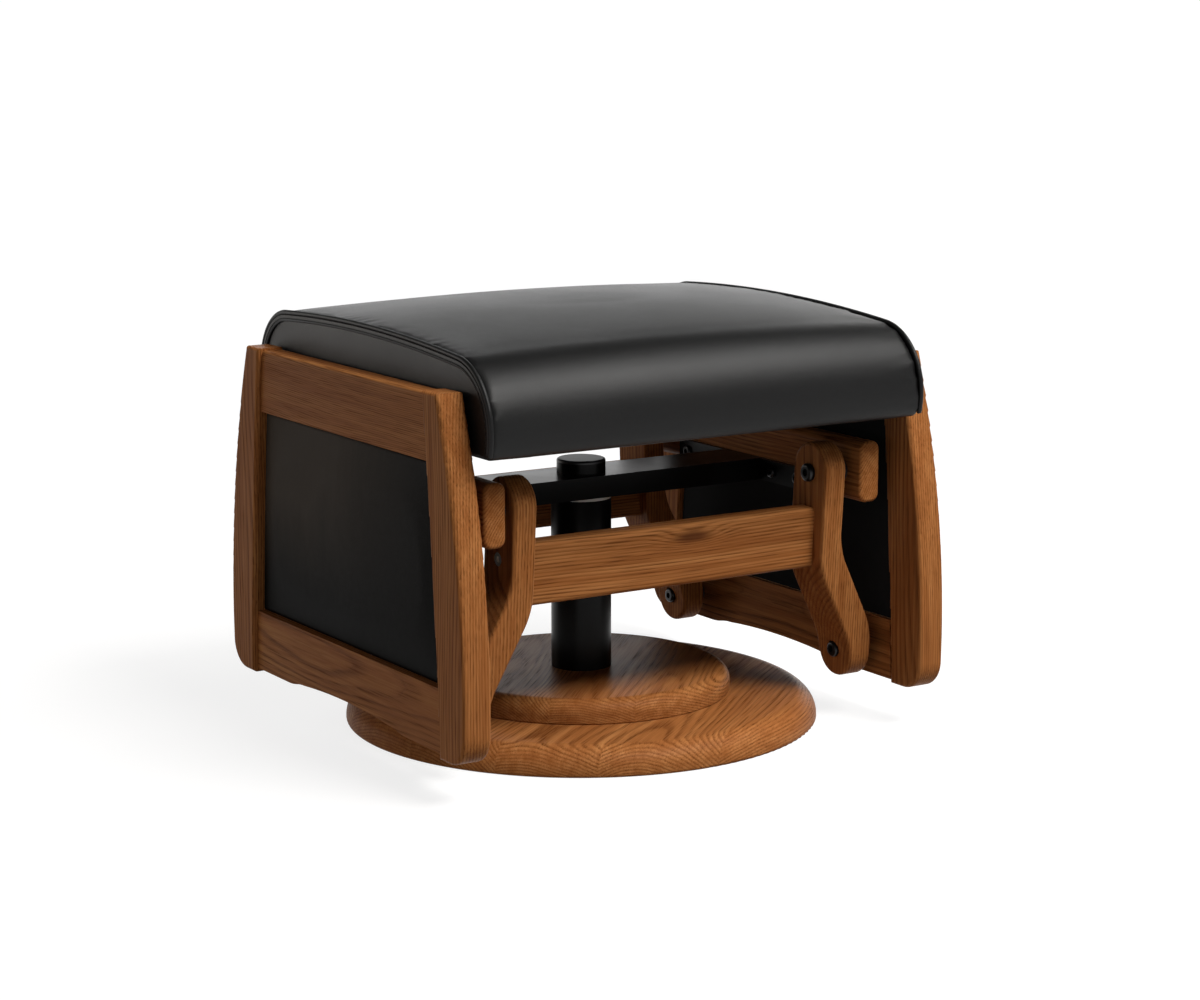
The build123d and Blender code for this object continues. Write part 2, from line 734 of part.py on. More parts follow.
def dowel(radius, reach):
    """A dowel along Y, centred on the joint that it crosses."""
    with BuildPart() as pin:
        Cylinder(radius, 2 * reach, rotation=(90, 0, 0))
    return pin.part


dowel_pin = dowel(dowel_radius, dowel_reach)
dowel_hole = dowel(dowel_radius + press_gap, dowel_reach + press_gap)


def dowel_spots(side, zs):
    """Where the dowels of one side frame stand."""
    return [(side * dowel_x, end * leg_inner_y(z), z) for z in zs for end in ENDS.values()]


def cut_to_legs(side, fit=0):
    """Cut the current part to the curved inner edges of both legs of one side."""
    for end in ENDS.values():
        outline = leg_outline(Plane.YZ.offset(side * leg_inner_x), end, fit, rounded=False)
        extrude(outline, amount=side * leg_thickness, mode=Mode.SUBTRACT)


def panel_sheet(side, x, thickness):
    """A flat sheet that fills a side frame's opening."""
    with BuildPart() as sheet:
        with Locations(facing(side, x, 0, panel_z + panel_fit)):
            Box(thickness, 2 * (leg_inner_y(panel_z) + frame_rail_overlap), panel_height - 2 * panel_fit,
                align=(Align.MIN, Align.CENTER, Align.MIN))
        cut_to_legs(side, panel_fit)
    return sheet


for side_name, side in SIDES.items():
    inner_plane = Plane.YZ.offset(side * leg_inner_x)
    for end_name, end in ENDS.items():
        with BuildPart() as leg:
            extrude(leg_outline(inner_plane, end), amount=side * leg_thickness)
            fillet(leg.faces().filter_by(Axis.X).edges(), leg_edge_round)
            with Locations(dowel_spots(side, dowel_zs)):
                add(dowel_hole, mode=Mode.SUBTRACT)
        save(leg, f"{side_name}_{end_name}_leg")

    with BuildPart() as top_rail:
        with Locations(facing(side, frame_rail_x, 0, top_rail_z)):
            Box(frame_rail_thickness, 2 * (leg_inner_y(top_rail_z) + frame_rail_overlap), top_rail_height,
                align=(Align.MIN, Align.CENTER, Align.MIN))
        fillet(top_rail.edges().filter_by(Axis.Y).group_by(Axis.Z)[-1], frame_rail_round)
        cut_to_legs(side)
        with Locations(dowel_spots(side, dowel_zs[2:])):
            add(dowel_hole, mode=Mode.SUBTRACT)
        with Locations(bracket_side_spots(side)):
            add(bracket_screw_hole, mode=Mode.SUBTRACT)
    save(top_rail, f"{side_name}_top_rail")

    with BuildPart() as bottom_rail:
        half_length = leg_inner_y(bottom_rail_z) + frame_rail_overlap
        arch_shoulder_z = bottom_rail_z + arch_shoulder_height
        ogee = ((arch_start_y + arch_shoulder_y) / 2, bottom_rail_z + arch_shoulder_height / 2)
        with BuildSketch(Plane.YZ.offset(side * frame_rail_x)):
            with BuildLine():
                for end in ENDS.values():
                    lower = TangentArc((end * arch_start_y, bottom_rail_z), (end * ogee[0], ogee[1]),
                                       tangent=(-end, 0))
                    TangentArc(lower @ 1, (end * arch_shoulder_y, arch_shoulder_z), tangent=lower % 1)
                    Polyline((end * arch_start_y, bottom_rail_z), (end * half_length, bottom_rail_z),
                             (end * half_length, panel_z))
                ThreePointArc((-arch_shoulder_y, arch_shoulder_z), (0, bottom_rail_z + bottom_rail_arch),
                              (arch_shoulder_y, arch_shoulder_z))
                Line((-half_length, panel_z), (half_length, panel_z))
            make_face()
        extrude(amount=side * frame_rail_thickness)
        cut_to_legs(side)
        with Locations(dowel_spots(side, dowel_zs[:2])):
            add(dowel_hole, mode=Mode.SUBTRACT)
        for end in ENDS.values():
            with Locations(facing(side, frame_rail_x, end * lower_pivot_y, lower_pivot_z)):
                drill(insert_radius + press_gap, insert_length + press_gap)
    save(bottom_rail, f"{side_name}_bottom_rail")

    with BuildPart() as dowels:
        with Locations(dowel_spots(side, dowel_zs)):
            add(dowel_pin)
    save(dowels, f"{side_name}_frame_dowels")

    save(panel_sheet(side, board_x, board_thickness), f"{side_name}_panel_board")
    save(panel_sheet(side, board_x - lining_thickness, lining_thickness), f"{side_name}_panel_lining")

    with BuildPart() as panel_pad:
        edge_x = side * (pad_x + pad_edge)
        foot_z = panel_z + panel_fit
        head_z = foot_z + panel_height - 2 * panel_fit
        with BuildSketch(Plane.XZ):
            with BuildLine():
                Polyline((edge_x, foot_z), (side * pad_x, foot_z), (side * pad_x, head_z), (edge_x, head_z))
                ThreePointArc((edge_x, foot_z), (edge_x + side * pad_crown, (foot_z + head_z) / 2),
                              (edge_x, head_z))
            make_face()
        extrude(amount=leg_inner_y(panel_z) + frame_rail_overlap, both=True)
        cut_to_legs(side, panel_fit)
        puffed = panel_pad.faces().sort_by(Axis.X)[-1 if side > 0 else 0]
        fillet(puffed.edges(), pad_round)
    save(panel_pad, f"{side_name}_panel_pad")

# ================================================================ seat
inside_radius = cushion_front_radius + cushion_rear_radius
top_span = cushion_front_y + cushion_rear_y - cushion_shoulder_share * inside_radius


def cushion_section(x, crown, inset=0):
    """The cushion's outline from the side, at one place along its width."""
    front_radius = cushion_front_radius + crown / 2 - inset
    rear_radius = cushion_rear_radius + crown / 2 - inset
    arch = cushion_top_arch + crown / 2
    sweep = 90 - 2 * math.degrees(math.atan(2 * arch / top_span))
    front_y = inset - cushion_front_y
    rear_y = cushion_rear_y - inset
    front_belly = (front_y, cushion_z + cushion_belly_height)
    rear_belly = (rear_y, cushion_z + cushion_rear_belly_height)
    front_foot = (front_y + cushion_foot_draw, cushion_z + inset)
    rear_foot = (rear_y - cushion_foot_draw, cushion_z + inset)
    with BuildSketch(Plane.YZ.offset(x)) as section:
        with BuildLine():
            front_shoulder = JernArc(front_belly, (0, 1), front_radius, -sweep)
            rear_shoulder = JernArc(rear_belly, (0, 1), rear_radius, sweep)
            TangentArc(front_shoulder @ 1, rear_shoulder @ 1, tangent=front_shoulder % 1)
            TangentArc(front_belly, front_foot, tangent=(0, -1))
            TangentArc(rear_belly, rear_foot, tangent=(0, -1))
            Line(front_foot, rear_foot)
        make_face()
        fillet(section.vertices().group_by(Axis.Y)[0], cushion_foot_round - inset)
    return section.sketch


def cushion_form(inset=0):
    """The whole cushion, higher in the middle of its width than at its ends."""
    half_width = seat_width / 2 - inset
    stations = ((-half_width, 0), (0, cushion_crown), (half_width, 0))
    with BuildPart() as form:
        loft([cushion_section(x, crown, inset) for x, crown in stations])
        fillet(form.faces().filter_by(Axis.X).edges(), cushion_end_share * (cushion_foot_round - inset))
    return form.part


board_z = cushion_z + leather_thickness
foam_z = board_z + seat_board_thickness
opening_x = seat_width / 2 - leather_turn_under
opening_front_y = cushion_front_y - leather_turn_under
opening_rear_y = cushion_rear_y - leather_turn_under

with BuildPart() as cover:
    add(cushion_form())
    add(cushion_form(leather_thickness), mode=Mode.SUBTRACT)
    with BuildSketch(Plane.XY.offset(cushion_z)):
        with Locations((0, (opening_rear_y - opening_front_y) / 2)):
            Rectangle(2 * opening_x, opening_front_y + opening_rear_y)
    extrude(amount=leather_thickness, mode=Mode.SUBTRACT)
    with Locations(bracket_board_spots):
        add(bracket_screw_hole, mode=Mode.SUBTRACT)
save(cover, "cushion_cover")

with BuildPart() as foam:
    add(cushion_form(leather_thickness + foam_gap))
    split(bisect_by=Plane.XY.offset(foam_z), keep=Keep.TOP)
save(foam, "cushion_foam")

with BuildPart() as seat_board:
    with BuildSketch(Plane.XY.offset(board_z)):
        with Locations((0, (cushion_rear_y - cushion_front_y) / 2)):
            Rectangle(seat_width - 2 * seat_board_inset,
                      cushion_front_y + cushion_rear_y - 2 * seat_board_inset)
    extrude(amount=seat_board_thickness)
    with Locations(bracket_board_spots):
        add(bracket_screw_hole, mode=Mode.SUBTRACT)
save(seat_board, "seat_board")

with BuildPart() as dust_cover:
    with BuildSketch(Plane.XY.offset(cushion_z)):
        with Locations((0, (opening_rear_y - opening_front_y) / 2)):
            Rectangle(2 * (bracket_inner_x - face_gap),
                      opening_front_y + opening_rear_y + 2 * dust_cover_lap)
    extrude(amount=-dust_cover_thickness)
save(dust_cover, "dust_cover")

with BuildPart() as brackets:
    for side in SIDES.values():
        for y in bracket_ys:
            with BuildSketch(Plane.XZ.offset(-y)):
                with BuildLine():
                    Polyline((side * frame_rail_x, bracket_z),
                             (side * bracket_inner_x, bracket_z),
                             (side * bracket_inner_x, cushion_z),
                             (side * bracket_face_x, cushion_z),
                             (side * bracket_face_x, cushion_z + bracket_rise),
                             (side * frame_rail_x, cushion_z + bracket_rise), close=True)
                make_face()
            extrude(amount=bracket_width / 2, both=True)
    with Locations(bracket_board_spots):
        add(bracket_screw_hole, mode=Mode.SUBTRACT)
    for side in SIDES.values():
        with Locations(bracket_side_spots(side)):
            add(bracket_screw_hole, mode=Mode.SUBTRACT)
save(brackets, "seat_brackets")

with BuildPart() as bracket_screws:
    with Locations(bracket_board_spots):
        add(bracket_screw)
    for side in SIDES.values():
        with Locations(bracket_side_spots(side)):
            add(bracket_screw)
save(bracket_screws, "bracket_screws")
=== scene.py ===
import bpy
import bmesh
import math
import numpy as np
from mathutils import Euler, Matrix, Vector
from mathutils.bvhtree import BVHTree


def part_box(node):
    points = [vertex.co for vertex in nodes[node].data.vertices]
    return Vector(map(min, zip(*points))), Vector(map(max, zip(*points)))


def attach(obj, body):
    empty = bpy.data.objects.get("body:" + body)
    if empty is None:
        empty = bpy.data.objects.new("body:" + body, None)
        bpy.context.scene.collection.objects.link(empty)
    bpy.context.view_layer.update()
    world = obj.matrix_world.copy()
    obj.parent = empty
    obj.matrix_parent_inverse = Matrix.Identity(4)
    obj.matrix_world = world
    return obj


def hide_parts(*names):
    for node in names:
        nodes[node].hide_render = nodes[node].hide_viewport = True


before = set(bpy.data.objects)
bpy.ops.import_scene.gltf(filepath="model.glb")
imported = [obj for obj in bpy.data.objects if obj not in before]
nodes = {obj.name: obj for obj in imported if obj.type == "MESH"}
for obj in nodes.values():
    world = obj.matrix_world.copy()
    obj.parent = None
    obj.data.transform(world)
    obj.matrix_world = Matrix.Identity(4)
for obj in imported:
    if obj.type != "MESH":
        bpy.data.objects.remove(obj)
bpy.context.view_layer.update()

SIDES = {"left": -1, "right": 1}
ENDS = ("front", "rear")


# ---------------------------------------------------------------- node helpers
class Tree:
    """Builds a node tree. Each node is placed in a row as it is made."""

    def __init__(self, tree):
        self.tree = tree

    def node(self, kind, values=None, **settings):
        """A new node. Its values are numbers, colours or other nodes' outputs."""
        made = self.tree.nodes.new(kind)
        made.location = (180 * len(self.tree.nodes), 0)
        for key, value in settings.items():
            setattr(made, key, value)
        for key, value in (values or {}).items():
            if isinstance(value, bpy.types.NodeSocket):
                self.tree.links.new(value, made.inputs[key])
            else:
                made.inputs[key].default_value = value
        return made

    def math(self, operation, first, second=0.0, third=0.0, clamp=False):
        values = {0: first, 1: second}
        if operation == "MULTIPLY_ADD":
            values[2] = third
        return self.node("ShaderNodeMath", values, operation=operation, use_clamp=clamp).outputs[0]

    def spread(self, value, width):
        """A value between 0 and 1, brought to lie evenly about 0."""
        return self.math("MULTIPLY_ADD", value, width, -width / 2)

    def length(self, first, second):
        """The length of a flat vector, from its two parts."""
        squares = [self.math("MULTIPLY", value, value) for value in (first, second)]
        return self.math("SQRT", self.math("ADD", *squares))

    def split(self, vector):
        return self.node("ShaderNodeSeparateXYZ", {0: vector}).outputs

    def scaled(self, vector, scale=(1, 1, 1), shift=(0, 0, 0), turn=(0, 0, 0)):
        return self.node("ShaderNodeMapping", {"Vector": vector, "Scale": scale, "Location": shift,
                                               "Rotation": turn}).outputs[0]

    def noise(self, vector, scale, detail, rough, result="Fac"):
        return self.node("ShaderNodeTexNoise", {"Vector": vector, "Scale": scale, "Detail": detail,
                                                "Roughness": rough}).outputs[result]

    def stretched(self, vector, scale, detail, rough, result="Fac"):
        """Noise with a scale of its own on each axis."""
        return self.noise(self.scaled(vector, scale), 1.0, detail, rough, result)

    def random(self, number, result):
        """A random value or colour for a whole number."""
        return self.node("ShaderNodeTexWhiteNoise", {"W": number}, noise_dimensions="1D").outputs[result]

    def fade(self, value, start, end, first=0.0, last=1.0, curve="SMOOTHSTEP"):
        """Goes from first to last while a value goes from start to end."""
        return self.node("ShaderNodeMapRange", {0: value, 1: start, 2: end, 3: first, 4: last},
                         interpolation_type=curve).outputs[0]

    def ramp(self, factor, stops):
        """A ramp of greys or colours, each at its place between 0 and 1."""
        made = self.node("ShaderNodeValToRGB", {0: factor})
        elements = made.color_ramp.elements
        while len(elements) < len(stops):
            elements.new(1.0)
        for element, (position, value) in zip(elements, stops):
            element.position = position
            element.color = value if isinstance(value, tuple) else (value, value, value, 1.0)
        return made.outputs[0]

    def blend(self, factor, first, second):
        return self.node("ShaderNodeMix", {0: factor, 6: first, 7: second}, data_type="RGBA").outputs[2]

    def bump(self, height, strength, distance, normal=None):
        values = {"Height": height, "Strength": strength, "Distance": distance}
        if normal is not None:
            values["Normal"] = normal
        return self.node("ShaderNodeBump", values).outputs[0]


def new_material(name, **constants):
    """A material with a Principled shader whose constants are set on its own sockets."""
    made = bpy.data.materials.new(name)
    made.use_nodes = True
    made.node_tree.nodes.clear()
    tree = Tree(made.node_tree)
    shader = tree.node("ShaderNodeBsdfPrincipled", constants)
    output = tree.node("ShaderNodeOutputMaterial", {"Surface": shader.outputs[0]})
    output.location = (2400, 0)
    coords = tree.node("ShaderNodeTexCoord").outputs["Object"]
    return made, tree, shader, coords


def join(tree, shader, **sockets):
    """Link outputs into the shader's inputs by name."""
    for name, socket in sockets.items():
        tree.tree.links.new(socket, shader.inputs[name.replace("_", " ")])


def colour(red, green, blue):
    """An sRGB colour, 0 to 255, as Blender's linear one."""
    def linear(value):
        value /= 255
        return value / 12.92 if value <= 0.04045 else ((value + 0.055) / 1.055) ** 2.4
    return (linear(red), linear(green), linear(blue), 1.0)


def shade(tint, factor):
    """A tint made darker or lighter."""
    return tuple(part * factor for part in tint[:3]) + (1.0,)


def paint(node, material):
    """Give a CAD node one material."""
    mesh = nodes[node].data
    mesh.materials.clear()
    mesh.materials.append(material)


# ---------------------------------------------------------------- oak
# Lengths in metres. GRAIN holds the turn that brings each grain direction to X.
LOG_WANDER = 0.024
RING_RIPPLE = 0.0024
KNOT_REACH, KNOT_PULL, KNOT_SQUASH = 0.060, 0.007, 3.6
KNOT_CORE, KNOT_EDGE = 0.006, 0.030
NO_KNOT = 9.0
STAVE_SHIFT, STAVE_PITH, STAVE_TONE = 7.0, 0.05, 0.16
GRAIN = {"X": (0, 0, 0), "Y": (0, 0, -math.pi / 2), "Z": (0, math.pi / 2, 0)}


def oak_group():
    """Solid oak whose grain runs along local X. The rings are cylinders round a pith line."""
    group = bpy.data.node_groups.new("oak_grain", "ShaderNodeTree")
    group.interface.new_socket("Vector", in_out="INPUT", socket_type="NodeSocketVector")
    for name, default in (("Pith Y", 0.05), ("Pith Z", 0.02), ("Ring", 0.0026), ("Tone", 0.5),
                          ("Knot X", NO_KNOT), ("Knot Z", NO_KNOT)):
        socket = group.interface.new_socket(name, in_out="INPUT", socket_type="NodeSocketFloat")
        socket.default_value = default
    for name, kind in (("Color", "Color"), ("Roughness", "Float"), ("Height", "Float")):
        group.interface.new_socket(name, in_out="OUTPUT", socket_type="NodeSocket" + kind)
    tree = Tree(group)
    inlet = tree.node("NodeGroupInput").outputs
    vector = inlet["Vector"]
    axes = tree.split(vector)

    # the whole log wanders slowly, and its rings ripple more finely
    wander = tree.split(tree.stretched(vector, (2.6, 7.0, 7.0), 1.0, 0.5, "Color"))
    ripple = tree.stretched(vector, (9.0, 60.0, 60.0), 3.0, 0.5)
    across = tree.math("ADD", axes[1], tree.spread(wander[0], LOG_WANDER))
    across = tree.math("ADD", across, inlet["Pith Y"])
    up = tree.math("ADD", axes[2], tree.spread(wander[1], LOG_WANDER))
    up = tree.math("ADD", up, inlet["Pith Z"])
    radius = tree.math("ADD", tree.length(across, up), tree.spread(ripple, RING_RIPPLE))

    # a knot pulls the rings round itself
    from_x = tree.math("SUBTRACT", axes[0], inlet["Knot X"])
    from_z = tree.math("SUBTRACT", axes[2], inlet["Knot Z"])
    knot_far = tree.length(from_x, tree.math("MULTIPLY", from_z, KNOT_SQUASH))
    knot_near = tree.fade(knot_far, 0.0, KNOT_REACH, 1.0, 0.0, "SMOOTHERSTEP")
    radius = tree.math("ADD", radius, tree.math("MULTIPLY", knot_near, KNOT_PULL))

    # each year has its own strength, and each ring its early and late wood
    rings = tree.math("DIVIDE", radius, inlet["Ring"])
    year = tree.random(tree.math("FLOOR", rings), "Value")
    band = tree.ramp(tree.math("FRACT", rings), ((0.0, 0.9), (0.10, 1.0), (0.30, 0.55), (0.48, 0.08),
                                                 (0.80, 0.0), (0.93, 0.35), (1.0, 0.9)))

    # long fibres, open pores and broad colour drift
    fibre = tree.stretched(vector, (18.0, 700.0, 700.0), 3.0, 0.6)
    streak = tree.stretched(vector, (4.0, 120.0, 120.0), 3.0, 0.55)
    pore = tree.stretched(vector, (26.0, 1300.0, 1300.0), 1.0, 0.4)
    pore = tree.ramp(pore, ((0.0, 0.0), (0.52, 0.0), (0.62, 1.0), (1.0, 1.0)))
    pore = tree.math("MULTIPLY", pore, tree.math("MULTIPLY_ADD", band, 0.8, 0.2))
    drift = tree.stretched(vector, (3.0, 16.0, 16.0), 2.0, 0.5)

    body = tree.ramp(streak, ((0.3, colour(140, 86, 46)), (0.5, colour(158, 103, 59)),
                              (0.7, colour(172, 117, 70))))
    dark = tree.math("MULTIPLY", band, tree.math("MULTIPLY_ADD", year, 0.45, 0.38))
    body = tree.blend(dark, body, colour(103, 59, 28))
    body = tree.blend(tree.fade(fibre, 0.42, 0.68, 0.0, 0.42, "LINEAR"), body, colour(110, 64, 31))
    body = tree.blend(tree.math("MULTIPLY", pore, 0.62), body, colour(62, 32, 15))
    body = tree.blend(tree.ramp(drift, ((0.35, 0.0), (0.7, 0.35))), body, colour(126, 72, 37))
    knot_core = tree.fade(knot_far, KNOT_CORE, KNOT_EDGE, 0.9, 0.0)
    knot_core = tree.math("MULTIPLY", knot_core, tree.math("ADD", streak, 0.35), clamp=True)
    body = tree.blend(knot_core, body, colour(58, 28, 14))
    value = tree.math("MULTIPLY_ADD", inlet["Tone"], 0.5, 0.75)
    body = tree.node("ShaderNodeHueSaturation",
                     {"Color": body, "Value": value, "Saturation": 1.01}).outputs[0]

    rough = tree.math("MULTIPLY_ADD", fibre, 0.10, 0.36)
    rough = tree.math("ADD", rough, tree.math("MULTIPLY", pore, 0.22))
    height = tree.math("MULTIPLY_ADD", pore, -1.0, tree.math("MULTIPLY", fibre, 0.25))
    height = tree.math("SUBTRACT", height, tree.math("MULTIPLY", band, 0.22))
    tree.node("NodeGroupOutput", {"Color": body, "Roughness": rough, "Height": height})
    return group


OAK = oak_group()


def oak(node, grain, pith, seed, ring, tone, angle=0.0, knot=None, stave=0.0):
    """Oak for one node. grain is the axis it runs along; pith is where the heart of its tree lay,
    from the middle of the piece. A glued-up piece has staves of one width, each from another tree."""
    made, tree, shader, coords = new_material("oak_" + node, **{"Specular IOR Level": 0.028})
    low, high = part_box(node)
    turn = Euler((0, 0, -math.radians(angle)) if angle else GRAIN[grain])
    middle = turn.to_matrix() @ ((low + high) / 2)
    vector = tree.scaled(coords, shift=(seed - middle.x, -middle.y, -middle.z), turn=turn)
    values = {"Vector": vector, "Pith Y": pith[0], "Pith Z": pith[1], "Ring": ring, "Tone": tone}
    if stave:
        axes = tree.split(vector)
        place = tree.math("DIVIDE", axes[1], stave)
        within = tree.math("MULTIPLY", tree.math("SUBTRACT", tree.math("FRACT", place), 0.5), stave)
        random = tree.split(tree.random(tree.math("FLOOR", place), "Color"))
        along = tree.math("ADD", axes[0], tree.math("MULTIPLY", random[0], STAVE_SHIFT))
        values["Vector"] = tree.node("ShaderNodeCombineXYZ", {0: along, 1: within, 2: axes[2]}).outputs[0]
        values["Pith Y"] = tree.spread(random[1], 2 * pith[0])
        values["Pith Z"] = tree.math("MULTIPLY_ADD", random[2], STAVE_PITH, pith[1])
        values["Tone"] = tree.math("MULTIPLY_ADD", random[1], STAVE_TONE, tone - STAVE_TONE / 2)
    if knot:
        values["Knot X"] = seed + knot[0]
        values["Knot Z"] = knot[1]
    wood = tree.node("ShaderNodeGroup", values, node_tree=OAK).outputs
    join(tree, shader, Base_Color=wood["Color"], Roughness=wood["Roughness"],
         Normal=tree.bump(wood["Height"], 0.35, 0.00018))
    paint(node, made)


# ---------------------------------------------------------------- other materials
# Heights and depths, in metres, between which the side panels carry a painted sheen: a lighter brown
# towards the top and rear that stands in for a soft reflection.
PAINTED_SHEEN_Z = (0.12, 0.285)
PAINTED_SHEEN_Y = (-0.15, 0.13)


def leather(name, tint, specular, painted_sheen=None):
    """Semi-gloss leather with a fine pebble grain and soft creases. Its last argument, a colour, gives a
    painted sheen: the leather is painted lighter towards its top and its rear, standing in for a soft
    reflection."""
    made, tree, shader, coords = new_material(name, **{"Specular IOR Level": specular})
    cells = tree.node("ShaderNodeTexVoronoi", {"Vector": coords, "Scale": 900.0},
                      feature="DISTANCE_TO_EDGE").outputs[0]
    pebble = tree.ramp(cells, ((0.0, 0.0), (0.16, 0.75), (0.5, 1.0)))
    fine = tree.noise(coords, 2600.0, 2.0, 0.5)
    crease = tree.noise(coords, 120.0, 4.0, 0.6)
    broad = tree.noise(coords, 9.0, 3.0, 0.5)
    warm = tuple(part * factor for part, factor in zip(tint, (1.22, 1.20, 1.16))) + (1.0,)
    base = tree.blend(broad, shade(tint, 0.86), warm)
    base = tree.blend(tree.math("MULTIPLY", pebble, 0.5), shade(tint, 0.6), base)
    if painted_sheen:
        # Painted sheen: lighter brown towards the top and rear, in place of a soft reflection.
        axes = tree.split(coords)
        high = tree.fade(axes[2], *PAINTED_SHEEN_Z)
        back = tree.fade(axes[1], *PAINTED_SHEEN_Y, 0.05)
        patchy = tree.stretched(coords, (1.0, 22.0, 5.0), 3.0, 0.6)
        sheen_mask = tree.math("MULTIPLY", tree.math("MULTIPLY", high, back),
                         tree.math("MULTIPLY_ADD", patchy, 1.1, 0.45))
        base = tree.blend(tree.math("MULTIPLY", sheen_mask, 1.7, clamp=True), base, painted_sheen)
    rough = tree.math("MULTIPLY_ADD", broad, 0.12, 0.34)
    rough = tree.math("ADD", rough, tree.math("MULTIPLY", fine, 0.06))
    grain = tree.math("ADD", pebble, tree.math("MULTIPLY", fine, 0.4))
    normal = tree.bump(grain, 0.3, 0.00016, tree.bump(crease, 0.25, 0.0006))
    join(tree, shader, Base_Color=base, Roughness=rough, Normal=normal)
    return made


def metal(name, tint, rough, metallic, brushed=0.0, specular=0.5):
    """Painted, plated or blackened steel."""
    made, tree, shader, coords = new_material(
        name, **{"Metallic": metallic, "Specular IOR Level": specular})
    broad = tree.noise(coords, 35.0, 3.0, 0.55)
    peel = tree.noise(coords, 900.0, 2.0, 0.5)
    base = tree.blend(broad, shade(tint, 0.85), shade(tint, 1.15))
    roughness = tree.math("MULTIPLY_ADD", broad, 0.10, rough - 0.05)
    if brushed:
        lines = tree.stretched(coords, (30.0, 3000.0, 3000.0), 2.0, 0.5)
        roughness = tree.math("ADD", roughness, tree.math("MULTIPLY", lines, brushed))
    join(tree, shader, Base_Color=base, Roughness=roughness, Normal=tree.bump(peel, 0.18, 0.00006))
    return made


def plastic(name, tint, rough, translucent=0.0):
    """Moulded nylon."""
    made, tree, shader, coords = new_material(
        name, **{"Specular IOR Level": 0.5, "Subsurface Weight": translucent, "Subsurface Scale": 0.002})
    broad = tree.noise(coords, 60.0, 2.0, 0.5)
    fine = tree.noise(coords, 1800.0, 2.0, 0.6)
    base = tree.blend(broad, shade(tint, 0.9), shade(tint, 1.1))
    join(tree, shader, Base_Color=base, Roughness=tree.math("MULTIPLY_ADD", fine, 0.12, rough - 0.06),
         Normal=tree.bump(fine, 0.25, 0.00008))
    return made


def cloth(name, tint, threads=900.0, rough=0.9):
    """A plain weave, with its number of threads to the metre."""
    made, tree, shader, coords = new_material(
        name, **{"Specular IOR Level": 0.08, "Sheen Weight": 0.04, "Sheen Roughness": 0.5})
    waves = [tree.math("SINE", tree.math("MULTIPLY", part, threads * 2 * math.pi))
             for part in tree.split(coords)]
    weave = tree.math("MULTIPLY", tree.math("ADD", waves[0], waves[2]), waves[1])
    weave = tree.math("MULTIPLY_ADD", weave, 0.25, 0.5)
    broad = tree.noise(coords, 18.0, 3.0, 0.55)
    base = tree.blend(weave, shade(tint, 0.6), shade(tint, 1.3))
    base = tree.blend(tree.math("MULTIPLY", broad, 0.5), base, shade(tint, 0.7))
    join(tree, shader, Base_Color=base, Roughness=tree.math("MULTIPLY_ADD", weave, 0.08, rough - 0.06),
         Normal=tree.bump(weave, 0.35, 0.0002))
    return made


def plain_wood(name, light, dark, grain, plies=0.0):
    """Unfinished timber or board that is hardly seen. plies is the thickness of a board's layers."""
    made, tree, shader, coords = new_material(name, **{"Specular IOR Level": 0.3})
    vector = tree.scaled(coords, turn=GRAIN[grain])
    streak = tree.stretched(vector, (12.0, 220.0, 220.0), 4.0, 0.6)
    base = tree.blend(tree.ramp(streak, ((0.3, 0.0), (0.7, 1.0))), light, dark)
    if plies:
        layer = tree.math("SINE", tree.math("MULTIPLY", tree.split(coords)[2], math.pi / plies))
        base = tree.blend(tree.ramp(layer, ((0.45, 0.0), (0.55, 0.35))), base, dark)
    join(tree, shader, Base_Color=base, Roughness=tree.math("MULTIPLY_ADD", streak, 0.15, 0.52),
         Normal=tree.bump(streak, 0.3, 0.0002))
    return made


def foam_material(name, tint):
    """Open-cell foam."""
    made, tree, shader, coords = new_material(name, **{"Specular IOR Level": 0.2})
    cells = tree.node("ShaderNodeTexVoronoi", {"Vector": coords, "Scale": 700.0}).outputs["Distance"]
    base = tree.blend(cells, tint, shade(tint, 0.6))
    join(tree, shader, Base_Color=base, Roughness=tree.math("MULTIPLY_ADD", cells, 0.1, 0.82),
         Normal=tree.bump(cells, 0.6, 0.0005))
    return made


BLACK_LEATHER = leather("black_leather", (0.0055, 0.0055, 0.0057), 0.20)
# The side panels' leather carries a painted sheen, lighter towards its top and rear.
PANEL_LEATHER = leather("panel_leather", (0.0045, 0.0042, 0.0040), 0.015, painted_sheen=(0.040, 0.031, 0.024, 1))
BLACK_STEEL = metal("black_steel", (0.003, 0.003, 0.003), 0.3, 0.0, specular=0.10)
FASTENER = metal("black_fastener", (0.018, 0.018, 0.019), 0.3, 0.75)
ZINC = metal("zinc_steel", (0.62, 0.6, 0.56), 0.32, 1.0, brushed=0.12)
PALE_NYLON = plastic("pale_nylon", (0.52, 0.50, 0.46), 0.45, 0.1)
BLACK_NYLON = plastic("black_nylon", (0.016, 0.016, 0.017), 0.4)
BLACK_CLOTH = cloth("black_cloth", (0.006, 0.006, 0.0065))
PLYWOOD = plain_wood("plywood", colour(196, 160, 116), colour(146, 108, 70), "X", plies=0.0014)
BEECH = plain_wood("beech", colour(206, 164, 120), colour(176, 130, 88), "Y")
FOAM = foam_material("foam", colour(222, 210, 170))


